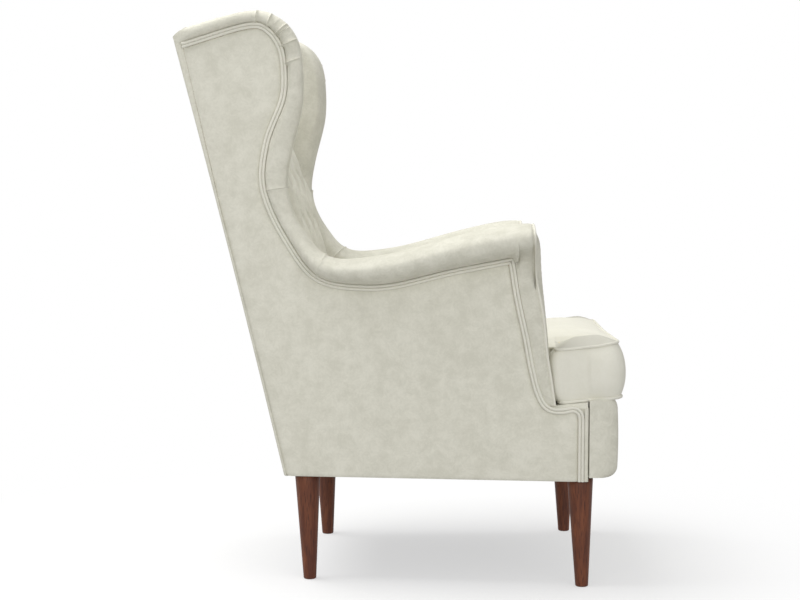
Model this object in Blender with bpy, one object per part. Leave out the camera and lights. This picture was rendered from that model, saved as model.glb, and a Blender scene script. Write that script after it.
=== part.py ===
"""Velvet wingback armchair: beech frame, springs, padded covers, loose T-cushion and turned legs.

Metres, +Z up. The chair faces -Y and is symmetric about X = 0. The origin is on the floor, under
the middle of the whole chair. Left and right are those of a person sitting in it, so left is +X.
"""
import bpy
import bmesh
from math import cos, pi, radians, sin, sqrt
from mathutils import Matrix, Vector

# Overall sizes
HEIGHT = 1.040              # floor to the top of the wing rolls
DEPTH = 0.815               # front of the cushion to the rear top corner
BASE_WIDTH = 0.600          # across the side panels, at the bottom of the front
LEG_LENGTH = 0.196          # floor to the bottom of the upholstered body
ARM_HEIGHT = 0.663          # floor to the top of the arm rolls, near their front
WAIST_HEIGHT = 0.716        # floor to the seam between wing roll and arm roll
CUSHION_SEAM_HEIGHT = 0.4435    # floor to the cushion's top seam, at its front
BACK_RAKE = 0.2475          # run of the back per unit of rise
SEAT_RAKE = 0.105           # fall of the seat per unit of depth
SIDE_TAPER = 0.0935         # how fast each side draws in towards the rear
SIDE_FLARE = 0.0375         # how fast each side leans out with height

# Fits
GAP = 0.0003                # between pieces that touch
PANEL_THICKNESS = 0.0035    # a cover with its wadding
BOARD_THICKNESS = 0.018     # plywood and rails in the side frames
CLOTH_THICKNESS = 0.0015

# Wing, arm and front edges of the side
TOP_CORNER_DROP = 0.050     # rear top corner below the wing's peak
WING_DEPTH = 0.197          # wing seam in front of the outer back, at its widest
ARM_TIP = 0.2350            # front of the arm roll, in front of the middle of the chair
ARM_CORNER = 0.1970         # mitred corner of the side panel, in front of the middle
BASE_TIP = 0.3230           # front edge of the side panel, in front of the middle
BASE_FACE = 0.3385          # front face of the base frame, in front of the middle
ARM_VALLEY_SHARE = 0.825    # lowest stretch of the arm seam, of the arm height
ROLL_WIDTH = 0.065          # side plane to the inner face of the linings
WING_BULGE = 0.012          # wing roll, out of the side plane
ARM_BULGE = 0.065           # arm roll, out of the side plane
LINING_SETBACK = 0.0505     # outer back to the rear edge of the linings
WELT_RADIUS = 0.0024
WELT_BAND = 4.0 * WELT_RADIUS + 2.0 * GAP   # two cords side by side, clear of what they meet
FLANGE_TOP = 0.0140         # outer back cover, wrapped round to the side
FLANGE_BOTTOM = 0.0042
FLANGE_KNEE_SHARE = 0.36    # height where the wrapped strip reaches its least width

# Frame
RAIL_THICKNESS = 0.025
BLOCK_SIZE = 0.058
POST_WIDTH = 0.030
POST_DEPTH = 0.040
BACK_RAIL_HEIGHT = 0.065
ARM_RAIL_HEIGHT = 0.045
STUMP_DEPTH = 0.045
SIDE_RAIL_TOP_SHARE = 0.86  # of the way from the base to the deck, at the arm front
POST_TOP_DROP = 0.049       # back posts' tops below the rear end of the wing seam
BOTTOM_RAIL_LIFT = 0.165    # back bottom rail, above the base
WING_BOARD_LIFT = 0.300     # wing boards' lower edge, above the base

# Seat
DECK_THICKNESS = 0.005
DECK_INSET = 0.001          # deck's ears, inside the side planes
SPRING_RADIUS = 0.0018
SPRING_SWING = 0.022
SPRING_PITCH = 0.030
SPRING_COUNT = 4
SPRING_SPREAD_SHARE = 0.78  # outer springs, of the seat's half width at the rear
DUST_THICKNESS = 0.0015
DUST_MARGIN = 0.010

# Loose T-cushion
CUSHION_THICKNESS = 0.0945  # between its two seams
CUSHION_CROWN = 0.029
CUSHION_FRONT_PUFF = 0.0135 # boxing, out of the seams
CUSHION_SIDE_PUFF = 0.0045
CUSHION_LEAN = 0.060        # boxing leans back, per unit of height
CUSHION_CLEARANCE = 0.0030  # to the linings and the inside back
EAR_REAR = 0.2890           # rear edge of the ears, in front of the middle
EAR_INSET = 0.0190          # ears' seams, inside the side planes
CORNER_RADIUS = 0.026
EAR_RADIUS = 0.014
NOTCH_RADIUS = 0.010
SEAM_DRAW = 0.003           # seams drawn in between the corners
ZIP_LENGTH = 0.300

# Inside back
BACK_THICKNESS = 0.150      # tufted back's face, in front of the outer back
TUFT_WIDTH = 0.120
TUFT_HEIGHT = 0.170
TUFT_DEPTH = 0.020
PLEAT_DEPTH = 0.009
TUFT_START = 0.330          # lowest row, above the base
TUFT_ROWS = 5
WEB_WIDTH = 0.050
WEB_THICKNESS = 0.0020
WEB_COUNT = 3

# Front border and arm facings
BORDER_THICKNESS = 0.053
BORDER_ROUND = 0.020
BORDER_CLEARANCE = 0.008    # border's lower edge, above the bottom of the base
FACING_RAKE = 0.1240        # run of the arm fronts per unit of drop
FACING_INSET = 0.0075       # facing's outline, inside the arm's
FACING_CROWN_TOP = 0.0145
FACING_CROWN_BOTTOM = 0.008

# Legs
LEG_TOP_RADIUS = 0.0232
LEG_FOOT_RADIUS = 0.0118
LEG_FOOT_BEVEL = 0.0030
LEG_INSET = 0.0380          # leg axis, inside the side plane
LEG_LEAN = 0.0040           # foot in front of the leg's top
FRONT_LEG_PLACE = 0.3270    # in front of the middle
REAR_LEG_SETBACK = 0.0400   # in front of the outer back, at the base
BOLT_RADIUS = 0.0040
BOLT_LENGTH = 0.070

# How finely round shapes are drawn
SEAM_STEPS = 2              # stations for each row of a seam's shares
BACK_STEPS = 3              # stations for each row of the inside back's shares
CORNER_STEPS = 3            # runs round each corner of the cushion
ROUND_STEPS = 4             # runs round the front border's lower edge
STUMP_STEPS = 6             # points up the arm stump's front
TUFT_COLUMNS = 4            # columns of faces across a tuft
WELT_SIDES = 5
SPRING_SIDES = 4
BOLT_SIDES = 12
LEG_SIDES = 24
SHARP_ANGLE = radians(35.0)
WELT_SHOULDER = radians(60.0)   # highest flat of a cord in the double welt
WELT_DIP = radians(25.0)        # bottom of the valley between its two cords
MITRE_LIMIT = 0.5               # least cosine that a mitre is drawn with

# Seams of the wing, from the rear top corner down to the waist. In each row: the welt's outer
# edge, then the roll's crest. First share: distance in front of the outer back, of WING_DEPTH.
# Second share: height, from the waist to the wing's peak.
WING_SHARES = [
    ((0.012, 0.812), (0.000, 0.850)),
    ((0.074, 0.821), (0.097, 0.892)),
    ((0.421, 0.880), (0.415, 0.948)),
    ((0.792, 0.932), (0.810, 0.997)),
    ((0.896, 0.907), (0.969, 0.975)),
    ((0.970, 0.852), (1.096, 0.914)),
    ((1.000, 0.787), (1.146, 0.824)),
    ((0.995, 0.710), (1.137, 0.728)),
    ((0.934, 0.543), (1.070, 0.537)),
    ((0.848, 0.448), (0.998, 0.423)),
    ((0.706, 0.324), (0.891, 0.296)),
    ((0.627, 0.235), (0.827, 0.216)),
    ((0.528, 0.083), (0.734, 0.086)),
    ((0.513, 0.000), (0.702, 0.000)),
]

# The same two lines along the arm, from the waist to the arm's tip. First share: of the way from
# the waist to the tip. Second and third: height above the valley, of the rise to the waist and of
# the rise to the arm's top.
ARM_SHARES = [
    ((0.000, 1.000, 0.000), (0.079, 1.000, 0.000)),
    ((0.012, 0.888, 0.000), (0.084, 0.888, 0.000)),
    ((0.044, 0.675, 0.000), (0.111, 0.698, 0.000)),
    ((0.092, 0.450, 0.000), (0.153, 0.521, 0.000)),
    ((0.141, 0.237, 0.000), (0.194, 0.373, 0.000)),
    ((0.189, 0.101, 0.000), (0.234, 0.302, 0.000)),
    ((0.248, 0.030, 0.000), (0.282, 0.250, 0.030)),
    ((0.360, 0.000, 0.000), (0.377, 0.140, 0.214)),
    ((0.481, 0.000, 0.017), (0.493, 0.000, 0.480)),
    ((0.660, 0.000, 0.207), (0.669, 0.000, 0.750)),
    ((0.800, 0.000, 0.310), (0.810, 0.000, 0.908)),
    ((0.932, 0.000, 0.405), (0.937, 0.000, 1.000)),
    ((1.000, 0.000, 0.440), (1.000, 0.000, 0.966)),
]

# Front edge of the side panel, from the mitred corner to the ledge under the cushion's ear.
# First share: of the way forward to the base. Second: height, from the ledge to the corner.
FRONT_SHARES = [
    (0.000, 1.000),
    (0.119, 0.775),
    (0.254, 0.505),
    (0.341, 0.299),
    (0.429, 0.135),
    (0.516, 0.044),
    (0.627, 0.004),
    (0.802, 0.000),
    (0.940, 0.011),
    (0.988, -0.005),
    (1.000, -0.045),
]

# Cross-section of a roll, from the welt over the crest to the inner face. First share: across, of
# the bulge where positive and of the roll width where negative. Second: from the seam to the crest.
WING_ROLL_SHARES = [
    (0.55, 0.06), (0.92, 0.25), (1.00, 0.45), (0.85, 0.70), (0.35, 0.93),
    (-0.35, 1.00), (-0.75, 0.90), (-0.96, 0.60), (-1.00, 0.15),
]
ARM_ROLL_SHARES = [
    (0.50, -0.02), (0.88, 0.10), (1.00, 0.38), (0.90, 0.68), (0.52, 0.93),
    (-0.10, 1.00), (-0.62, 0.92), (-0.94, 0.62), (-1.00, 0.15),
]
ROLL_GROWTH_SHARES = (0.15, 0.60)   # where the arm roll starts and ends growing outwards
LINING_SHARES = (0.35, 0.70, 1.00)  # rows down the lining
LINING_BEND_SHARE = 0.44            # where the lining's edge turns from the back to the seat
BOARD_JOINT_ROW = 6                 # row of ARM_SHARES where the arm rail meets the wing board

# Arm facing: heights up its straight sides, the place of its spine across and up the roll, and its
# rings as share of the way in to the spine and share of the crown.
FACING_SIDE_SHARES = (0.0, 0.12, 0.35, 0.65, 0.90)
FACING_SPINE_SHARES = (0.35, 0.20)
FACING_RING_SHARES = ((0.0, 0.0), (0.22, 0.62), (0.55, 0.92), (0.85, 1.00))

# Ends of the front border: drawn in from the side plane, of its round, and size of the section.
BORDER_END_SHARES = ((0.0, 0.45), (0.25, 0.80), (0.60, 0.96), (1.00, 1.00))

# Inside back, seen from the side. First share: height, from the deck to the wing's peak. Second:
# distance in front of the outer back, of BACK_THICKNESS.
BACK_FACE_SHARES = [
    (0.030, 0.96), (0.180, 1.00), (0.400, 0.99), (0.600, 0.93), (0.730, 0.85),
    (0.830, 0.74), (0.900, 0.58), (0.945, 0.42),
]
BACK_TOP_SHARES = [(0.963, 0.29), (0.968, 0.19), (0.963, 0.09), (0.947, 0.02)]
TUFT_EDGE_SHARE = 0.10      # band at each side, of the half width, that is drawn in evenly

CROWN_RING_SHARES = (0.94, 0.82, 0.64, 0.44, 0.22)
CROWN_EDGE_SHARE = 0.42     # band inside the seam over which the crown rises
CROWN_FALL_SHARE = 0.30     # how much lower the crown is at the sides and the rear
BOXING_RING_SHARES = (0.25, 0.50, 0.75)
ZIP_RING_SHARE = 0.50       # the zip's band starts here on the boxing
OUTLINE_STEP = 0.050        # longest run between two points of the cushion's outline
SPRING_BEND_SHARE = 0.20    # half width of a spring's bend, of its pitch
HALF_SHARE = 0.5

LEFT = 1
RIGHT = -1
SIDES = (("left", LEFT), ("right", RIGHT))

BASE_BOTTOM = LEG_LENGTH
BOARD_OUT = -PANEL_THICKNESS - GAP
BOARD_IN = BOARD_OUT - BOARD_THICKNESS
INNER_LAYER = BOARD_IN - GAP
ARM_VALLEY = ARM_VALLEY_SHARE * ARM_HEIGHT
FRAME_BOTTOM = BASE_BOTTOM + DUST_THICKNESS + GAP
CUSHION_FRONT = -DEPTH / 2.0 + CUSHION_FRONT_PUFF - CUSHION_LEAN * CUSHION_THICKNESS / 2.0
FLANGE_KNEE = BASE_BOTTOM + FLANGE_KNEE_SHARE * (HEIGHT - BASE_BOTTOM)


def back_y(z):
    """Outer face of the back."""
    return DEPTH / 2.0 - BACK_RAKE * (HEIGHT - TOP_CORNER_DROP - z)


def side_half(y, z):
    """Half width of the chair at the side panels."""
    return BASE_WIDTH / 2.0 - SIDE_TAPER * (y + BASE_TIP) + SIDE_FLARE * (z - LEG_LENGTH)


def seat_z(y, rise=0.0):
    """Raked plane of the cushion's underside, or one parallel to it."""
    front = CUSHION_SEAM_HEIGHT - CUSHION_THICKNESS
    return front - SEAT_RAKE * (y - CUSHION_FRONT) + rise


def deck_top(y):
    return seat_z(y, -GAP)


def deck_bottom(y):
    return seat_z(y, -GAP - DECK_THICKNESS)


def side_point(side, y, z, out):
    """A point that lies out of the side plane by a given amount."""
    return Vector((side * (side_half(y, z) + out), y, z))


def lerp(a, b, share):
    return a + (b - a) * share


def ease(share):
    share = min(max(share, 0.0), 1.0)
    return share * share * (3.0 - 2.0 * share)


def smooth(points, steps):
    """Catmull-Rom curve through the points."""
    result = []
    last = len(points) - 1
    for i in range(last):
        p0 = points[max(i - 1, 0)]
        p1 = points[i]
        p2 = points[i + 1]
        p3 = points[min(i + 2, last)]
        for k in range(steps):
            t = k / steps
            a = p1 * 2.0
            b = (p2 - p0) * t
            c = (p0 * 2.0 - p1 * 5.0 + p2 * 4.0 - p3) * t ** 2
            d = (p1 * 3.0 - p0 - p2 * 3.0 + p3) * t ** 3
            result.append((a + b + c + d) / 2.0)
    result.append(points[last].copy())
    return result


def offset(points, distance):
    """A line beside an open line of 2-D points, with mitred corners. Positive is to its left."""
    result = []
    last = len(points) - 1
    for i, point in enumerate(points):
        before = (point - points[i - 1]).normalized() if i > 0 else None
        after = (points[i + 1] - point).normalized() if i < last else None
        before = before or after
        after = after or before
        n0 = Vector((-before.y, before.x))
        n1 = Vector((-after.y, after.x))
        middle = (n0 + n1).normalized()
        result.append(point + middle * distance / max(middle.dot(n0), MITRE_LIMIT))
    return result


def at_height(points, z):
    """First coordinate of a falling or rising line of points, where its second one is z."""
    for a, b in zip(points, points[1:]):
        if (a.y - z) * (b.y - z) <= 0.0 and a.y != b.y:
            return lerp(a.x, b.x, (z - a.y) / (b.y - a.y))
    nearest = min(points, key=lambda p: abs(p.y - z))
    return nearest.x


def at_depth(points, y):
    """Second coordinate of a line of points, where its first one is y."""
    for a, b in zip(points, points[1:]):
        if (a.x - y) * (b.x - y) <= 0.0 and a.x != b.x:
            return lerp(a.y, b.y, (y - a.x) / (b.x - a.x))
    nearest = min(points, key=lambda p: abs(p.x - y))
    return nearest.y


def wing_point(shares):
    z = lerp(WAIST_HEIGHT, HEIGHT, shares[1])
    return Vector((back_y(z) - shares[0] * WING_DEPTH, z))


def arm_point(shares):
    waist = wing_point(WING_SHARES[-1][0])
    y = lerp(waist.x, -ARM_TIP, shares[0])
    z = ARM_VALLEY + shares[1] * (WAIST_HEIGHT - ARM_VALLEY) + shares[2] * (ARM_HEIGHT - ARM_VALLEY)
    return Vector((y, z))


WING_SEAM = smooth([wing_point(row[0]) for row in WING_SHARES], SEAM_STEPS)
WING_CREST = smooth([wing_point(row[1]) for row in WING_SHARES], SEAM_STEPS)
ARM_SEAM = smooth([arm_point(row[0]) for row in ARM_SHARES], SEAM_STEPS)
ARM_CREST = smooth([arm_point(row[1]) for row in ARM_SHARES], SEAM_STEPS)
CORNER_STATION = (len(ARM_SHARES) - 2) * SEAM_STEPS
POST_TOP = WING_SEAM[0].y - POST_TOP_DROP
LEDGE = deck_bottom(-BASE_TIP) - WELT_BAND


def front_line():
    """Front edge of the side panel, from the mitred corner to the bottom of the base."""
    corner_z = at_depth(offset(ARM_SEAM, WELT_BAND), -ARM_CORNER)
    points = []
    for forward, height in FRONT_SHARES:
        y = lerp(-ARM_CORNER, -BASE_TIP, forward)
        points.append(Vector((y, lerp(LEDGE, corner_z, height))))
    curve = smooth(points, SEAM_STEPS)
    curve.append(Vector((-BASE_TIP, BASE_BOTTOM)))
    return curve


FRONT_LINE = front_line()


def panel_line():
    """Whole edge of the side panel, from the rear top corner to the bottom of its front."""
    seam = WING_SEAM[SEAM_STEPS:] + ARM_SEAM[1:]
    edge = [p for p in offset(seam, WELT_BAND) if p.x > -ARM_CORNER + WELT_BAND]
    return edge + FRONT_LINE


PANEL_LINE = panel_line()


def facing_y(z):
    """Plane of the arm's front, under its facing."""
    return -ARM_TIP - FACING_RAKE * (ARM_CREST[-1].y - z)


MATERIALS = {
    "velvet": ((0.60, 0.58, 0.50), 0.80, 0.0),
    "welt_velvet": ((0.66, 0.64, 0.56), 0.75, 0.0),
    "foam": ((0.85, 0.80, 0.62), 0.95, 0.0),
    "beech": ((0.62, 0.42, 0.24), 0.60, 0.0),
    "plywood": ((0.58, 0.40, 0.22), 0.65, 0.0),
    "walnut": ((0.095, 0.034, 0.016), 0.35, 0.0),
    "spring_steel": ((0.35, 0.35, 0.36), 0.35, 1.0),
    "zinc_steel": ((0.60, 0.60, 0.58), 0.40, 1.0),
    "webbing": ((0.35, 0.28, 0.18), 0.90, 0.0),
    "black_cloth": ((0.02, 0.02, 0.02), 0.95, 0.0),
    "zip_tape": ((0.55, 0.53, 0.46), 0.85, 0.0),
}


def material(name):
    found = bpy.data.materials.get(name)
    if found:
        return found
    colour, roughness, metallic = MATERIALS[name]
    made = bpy.data.materials.new(name)
    made.use_nodes = True
    shader = made.node_tree.nodes["Principled BSDF"]
    shader.inputs["Base Color"].default_value = (*colour, 1.0)
    shader.inputs["Roughness"].default_value = roughness
    shader.inputs["Metallic"].default_value = metallic
    return made


def add_object(name, vertices, faces, finish):
    """One closed body with its faces pointing out."""
    mesh = bpy.data.meshes.new(name)
    bm = bmesh.new()
    corners = [bm.verts.new(v) for v in vertices]
    for face in faces:
        bm.faces.new([corners[i] for i in face])
    bmesh.ops.recalc_face_normals(bm, faces=bm.faces)
    if bm.calc_volume(signed=True) < 0.0:
        bmesh.ops.reverse_faces(bm, faces=bm.faces)
    bm.to_mesh(mesh)
    bm.free()
    mesh.materials.append(material(finish))
    mesh.shade_smooth()
    mesh.set_sharp_from_angle(angle=SHARP_ANGLE)
    made = bpy.data.objects.new(name, mesh)
    bpy.context.scene.collection.objects.link(made)
    return made


def loft(name, rings, finish, closed=False):
    """Skin over closed rings of equally many points, capped unless it closes on itself."""
    count = len(rings[0])
    vertices = [point for ring in rings for point in ring]
    faces = []
    spans = len(rings) if closed else len(rings) - 1
    for i in range(spans):
        a = i * count
        b = ((i + 1) % len(rings)) * count
        for k in range(count):
            n = (k + 1) % count
            faces.append((a + k, a + n, b + n, b + k))
    if not closed:
        faces.append(tuple(range(count)))
        faces.append(tuple(range(len(vertices) - count, len(vertices))))
    return add_object(name, vertices, faces, finish)


def side_prism(name, side, outline, out_a, out_b, finish):
    """A board or panel parallel to the side plane, from its outline seen from the side."""
    rings = []
    for out in (out_a, out_b):
        rings.append([side_point(side, p.x, p.y, out) for p in outline])
    return loft(name, rings, finish)


def cross_prism(name, outline, half_a, half_b, finish):
    """A rail across the chair, from its outline seen from the side and its two ends."""
    rings = []
    for sign, half in ((RIGHT, half_a), (LEFT, half_b)):
        rings.append([Vector((sign * half(p.x, p.y), p.x, p.y)) for p in outline])
    return loft(name, rings, finish)


def tube(name, points, radius, sides, finish, closed=False):
    """Round bar along a line of 3-D points, with its section carried along unturned."""
    rings = []
    count = len(points)
    upright = Vector((0.0, 0.0, 1.0))
    sideways = Vector((1.0, 0.0, 0.0))
    normal = None
    for i, point in enumerate(points):
        before = points[i - 1] if (i > 0 or closed) else point
        after = points[(i + 1) % count] if (i < count - 1 or closed) else point
        tangent = (after - before).normalized()
        if normal is None:
            guide = upright if abs(tangent.z) < HALF_SHARE else sideways
            normal = guide.cross(tangent).normalized()
        normal = (normal - tangent * normal.dot(tangent)).normalized()
        other = tangent.cross(normal)
        ring = []
        for k in range(sides):
            angle = 2.0 * pi * k / sides
            ring.append(point + (normal * cos(angle) + other * sin(angle)) * radius)
        rings.append(ring)
    return loft(name, rings, finish, closed)


def build_side_panel(label, side):
    """Cover of the side, up to the welt and to the outer back's wrapped edge."""
    outline = list(PANEL_LINE)
    for z in (BASE_BOTTOM, FLANGE_KNEE):
        outline.append(Vector((back_y(z) - flange(z) - GAP, z)))
    side_prism("outer_side_panel_" + label, side, outline, -PANEL_THICKNESS, 0.0, "velvet")


def flange(z):
    """Width of the outer back's cover where it wraps round to the side."""
    share = (z - FLANGE_KNEE) / (PANEL_LINE[0].y - FLANGE_KNEE)
    return lerp(FLANGE_BOTTOM, FLANGE_TOP, min(max(share, 0.0), 1.0))


def build_outer_back():
    """Flat cover of the back, with an edge wrapped round to each side."""
    wrapped = [p.y for p in WING_SEAM if p.x > back_y(p.y) - FLANGE_TOP]
    top = min(wrapped) - GAP
    rings = []
    for z in (BASE_BOTTOM, FLANGE_KNEE, PANEL_LINE[0].y, top):
        y = back_y(z)
        inner_y = y - PANEL_THICKNESS
        front_y = y - flange(z)
        plan = []
        for sign in (RIGHT, LEFT):
            half = side_half(y, z)
            inner_half = side_half(inner_y, z) - PANEL_THICKNESS
            run = [(inner_half, inner_y), (side_half(front_y, z) - PANEL_THICKNESS, front_y),
                   (side_half(front_y, z), front_y), (half, y)]
            run = run if sign == RIGHT else run[::-1]
            plan += [Vector((sign * px, py, z)) for px, py in run]
        rings.append(plan)
    loft("outer_back_panel", rings, "velvet")


def build_side_welt(label, side):
    """Two cords in one folded strip, all round the side panel."""
    r = WELT_RADIUS
    first = GAP + r
    second = GAP + 3.0 * r
    middle = (first + second) / 2.0
    high = r * sin(WELT_SHOULDER)
    wide = r * cos(WELT_SHOULDER)
    dip = r * sin(WELT_DIP)
    section = [(first - r, 0.0), (first - wide, high), (first + wide, high), (middle, dip),
               (second - wide, high), (second + wide, high), (second + r, 0.0),
               (second + wide, -high), (first - wide, -high)]
    lines = [offset(PANEL_LINE, -along) for along, _ in section]
    rings = []
    for i in range(len(PANEL_LINE)):
        ring = []
        for line, (_, out) in zip(lines, section):
            ring.append(side_point(side, line[i].x, max(line[i].y, BASE_BOTTOM), out))
        rings.append(ring)
    loft("side_welt_" + label, rings, "welt_velvet")


def roll_section(side, seam, crest, low, bulge, shares):
    """Closed section of a pad that hooks over the board layer and lines its inner face."""
    base = seam + (crest - seam).normalized() * GAP
    ring = [side_point(side, base.x, base.y, 0.0)]
    for across, rise in shares:
        out = across * bulge if across > 0.0 else across * ROLL_WIDTH
        point = base + (crest - base) * rise
        ring.append(side_point(side, point.x, point.y, out))
    for share in LINING_SHARES:
        point = base + (low - base) * share
        ring.append(side_point(side, point.x, point.y, -ROLL_WIDTH))
    ring.append(side_point(side, low.x, low.y, INNER_LAYER))
    ring.append(side_point(side, base.x, base.y, INNER_LAYER))
    return ring


def lining_edge(z):
    return Vector((back_y(z) - LINING_SETBACK, z))


def build_wing_pad(label, side):
    top = POST_TOP + POST_WIDTH
    rings = []
    last = len(WING_SEAM) - 1
    for i, (seam, crest) in enumerate(zip(WING_SEAM, WING_CREST)):
        low = lining_edge(lerp(top, WAIST_HEIGHT, i / last))
        low.y += GAP * (1.0 - i / last)
        rings.append(roll_section(side, seam, crest, low, WING_BULGE, WING_ROLL_SHARES))
    lift = Vector((0.0, 0.0, GAP))
    rings[-1] = [point + lift for point in rings[-1]]
    loft("wing_pad_" + label, rings, "velvet")


def arm_low(share):
    """Lower edge of the arm's lining: down the back, then forward beside the seat."""
    rear_z = deck_top(lining_edge(seat_z(0.0)).x)
    if share < LINING_BEND_SHARE:
        return lining_edge(lerp(WAIST_HEIGHT, rear_z, share / LINING_BEND_SHARE))
    rear = lining_edge(rear_z)
    front = facing_y(deck_top(-EAR_REAR))
    y = lerp(rear.x, front, (share - LINING_BEND_SHARE) / (1.0 - LINING_BEND_SHARE))
    return Vector((y, deck_top(y)))


def arm_lean(station):
    """How far a station of the arm is turned into the plane of the arm's front."""
    return max(station - CORNER_STATION, 0) / (len(ARM_SEAM) - 1 - CORNER_STATION)


def lean_to_facing(side, point, share):
    """Moves a point of the arm towards the plane of its front, in the layer that it is in."""
    out = side * point.x - side_half(point.y, point.z)
    return side_point(side, lerp(point.y, facing_y(point.z), share), point.z, out)


def arm_roll_shares(growth):
    rows = []
    for wing_row, arm_row in zip(WING_ROLL_SHARES, ARM_ROLL_SHARES):
        rows.append((lerp(wing_row[0], arm_row[0], growth), lerp(wing_row[1], arm_row[1], growth)))
    return rows


def build_arm_pad(label, side):
    rings = []
    last = len(ARM_SEAM) - 1
    start, end = ROLL_GROWTH_SHARES
    for i, (seam, crest) in enumerate(zip(ARM_SEAM, ARM_CREST)):
        growth = ease((i / last - start) / (end - start))
        bulge = lerp(WING_BULGE, ARM_BULGE, growth)
        ring = roll_section(side, seam, crest, arm_low(i / last), bulge, arm_roll_shares(growth))
        rings.append([lean_to_facing(side, point, arm_lean(i)) for point in ring])
    loft("arm_pad_" + label, rings, "velvet")


def build_arm_front_pad(label, side):
    """Padding round the arm's front post, from the welt to the facing."""
    beside = offset(FRONT_LINE, -WELT_BAND - GAP)
    seam = []
    for i, p in enumerate(ARM_SEAM):
        seam.append(Vector((lerp(p.x, facing_y(p.y), arm_lean(i)), p.y)))
    under = offset(seam, GAP)
    rear = [p for p in beside[1:] if p.x > facing_y(p.y) + WELT_RADIUS and p.y > LEDGE + WELT_BAND]
    corner_z = at_depth(under, beside[0].x)
    outline = [Vector((beside[0].x, corner_z))]
    outline += [p for p in under[:-1] if p.x < beside[0].x - GAP]
    tip_z = under[-1].y
    outline.append(Vector((facing_y(tip_z), tip_z)))
    outline.append(Vector((facing_y(rear[-1].y), rear[-1].y)))
    outline += rear[::-1]
    side_prism("arm_front_pad_" + label, side, outline, BOARD_IN, 0.0, "velvet")


def facing_outline(inset):
    """Closed outline of the arm's facing as (out, z), and the point on its spine for each."""
    seam = ARM_SEAM[-1].y
    crest = ARM_CREST[-1].y
    low = deck_top(-EAR_REAR) + 2.0 * GAP + inset
    inner = -ROLL_WIDTH + inset
    outer = -inset
    points = []
    for share in FACING_SIDE_SHARES:
        points.append((outer, lerp(low, seam - inset, share)))
    centre_out = (ARM_BULGE - ROLL_WIDTH) / 2.0
    centre_z = (seam + crest) / 2.0
    shrink = 1.0 - inset / ((crest - seam) / 2.0)
    for across, rise in ARM_ROLL_SHARES[1:]:
        out = across * ARM_BULGE if across > 0.0 else across * ROLL_WIDTH
        z = lerp(seam, crest, rise)
        points.append((lerp(centre_out, out, shrink), lerp(centre_z, z, shrink)))
    for share in FACING_SIDE_SHARES[::-1]:
        points.append((inner, lerp(low, seam - inset, share)))
    middle = (inner + outer) / 2.0
    across_share, up_share = FACING_SPINE_SHARES
    spine = []
    for out, z in points:
        if z < seam - inset:
            spine.append((middle, min(max(z, low + (outer - inner) / 2.0), seam)))
        else:
            spine.append((lerp(centre_out, out, across_share), lerp(centre_z, z, up_share)))
    return points, spine


def build_arm_facing(label, side):
    """Padded cover of the arm's front, crowned towards its spine."""
    points, spine = facing_outline(FACING_INSET)
    top = ARM_CREST[-1].y
    low = points[0][1]
    rings = []
    for share, crown in FACING_RING_SHARES:
        ring = []
        for (out, z), (spine_out, spine_z) in zip(points, spine):
            o = lerp(out, spine_out, share)
            h = lerp(z, spine_z, share)
            height = min(max((h - low) / (top - low), 0.0), 1.0)
            depth = lerp(FACING_CROWN_BOTTOM, FACING_CROWN_TOP, height) * crown
            y = facing_y(h) - GAP - depth
            ring.append(side_point(side, y, h, o))
        rings.append(ring)
    loft("arm_front_panel_" + label, rings, "velvet")


def build_facing_welt(label, side):
    points, _ = facing_outline(FACING_INSET)
    outline = [Vector(point) for point in points]
    line = []
    for out, z in offset(outline, -WELT_RADIUS - GAP):
        line.append(side_point(side, facing_y(z) - GAP - WELT_RADIUS, z, out))
    tube("arm_front_welt_" + label, line, WELT_RADIUS, WELT_SIDES, "welt_velvet")


def build_front_border():
    """Padded border on the front of the base."""
    rear = -BASE_FACE - GAP
    front = rear - BORDER_THICKNESS
    low = BASE_BOTTOM + BORDER_CLEARANCE
    top = seat_z(front, -GAP)
    r = BORDER_ROUND
    profile = [Vector((rear, low))]
    for k in range(ROUND_STEPS + 1):
        angle = pi / 2.0 * k / ROUND_STEPS
        profile.append(Vector((front + r - r * sin(angle), low + r - r * cos(angle))))
    profile.append(Vector((front, (low + top) / 2.0)))
    for k in range(ROUND_STEPS):
        angle = pi / 2.0 * k / ROUND_STEPS
        profile.append(Vector((front + r / 2.0 - r / 2.0 * cos(angle), top - r + r * sin(angle))))
    profile.append(Vector((front + r, seat_z(front + r, -GAP))))
    profile.append(Vector((rear, seat_z(rear, -GAP))))
    middle_z = (low + top) / 2.0
    rings = []
    spans = [(RIGHT, back, size) for back, size in BORDER_END_SHARES]
    spans += [(LEFT, back, size) for back, size in BORDER_END_SHARES[::-1]]
    for sign, back, size in spans:
        half = side_half(rear, middle_z) - back * BORDER_ROUND
        rings.append([Vector((sign * half, rear + (p.x - rear) * size, p.y)) for p in profile])
    loft("front_border_pad", rings, "velvet")


def tuft(x, rise):
    """How far the inside back is drawn in, at a place across and up it."""
    a = x / TUFT_WIDTH + rise / TUFT_HEIGHT
    b = x / TUFT_WIDTH - rise / TUFT_HEIGHT
    pleat_a = abs(sin(pi * a))
    pleat_b = abs(sin(pi * b))
    valley = 1.0 - sqrt(min(pleat_a, pleat_b))
    pinch = (1.0 - pleat_a) * (1.0 - pleat_b)
    top = TUFT_ROWS * TUFT_HEIGHT / 2.0
    fade = ease((rise + TUFT_HEIGHT / 4.0) / (TUFT_HEIGHT / 4.0))
    fade *= ease((top - rise + TUFT_HEIGHT / 4.0) / (TUFT_HEIGHT / 4.0))
    return fade * (PLEAT_DEPTH * valley + TUFT_DEPTH * pinch)


def back_face_point(rise_share, depth_share):
    low = seat_z(0.0)
    z = lerp(low, HEIGHT, rise_share)
    return Vector((back_y(z) - depth_share * BACK_THICKNESS, z))


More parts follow.
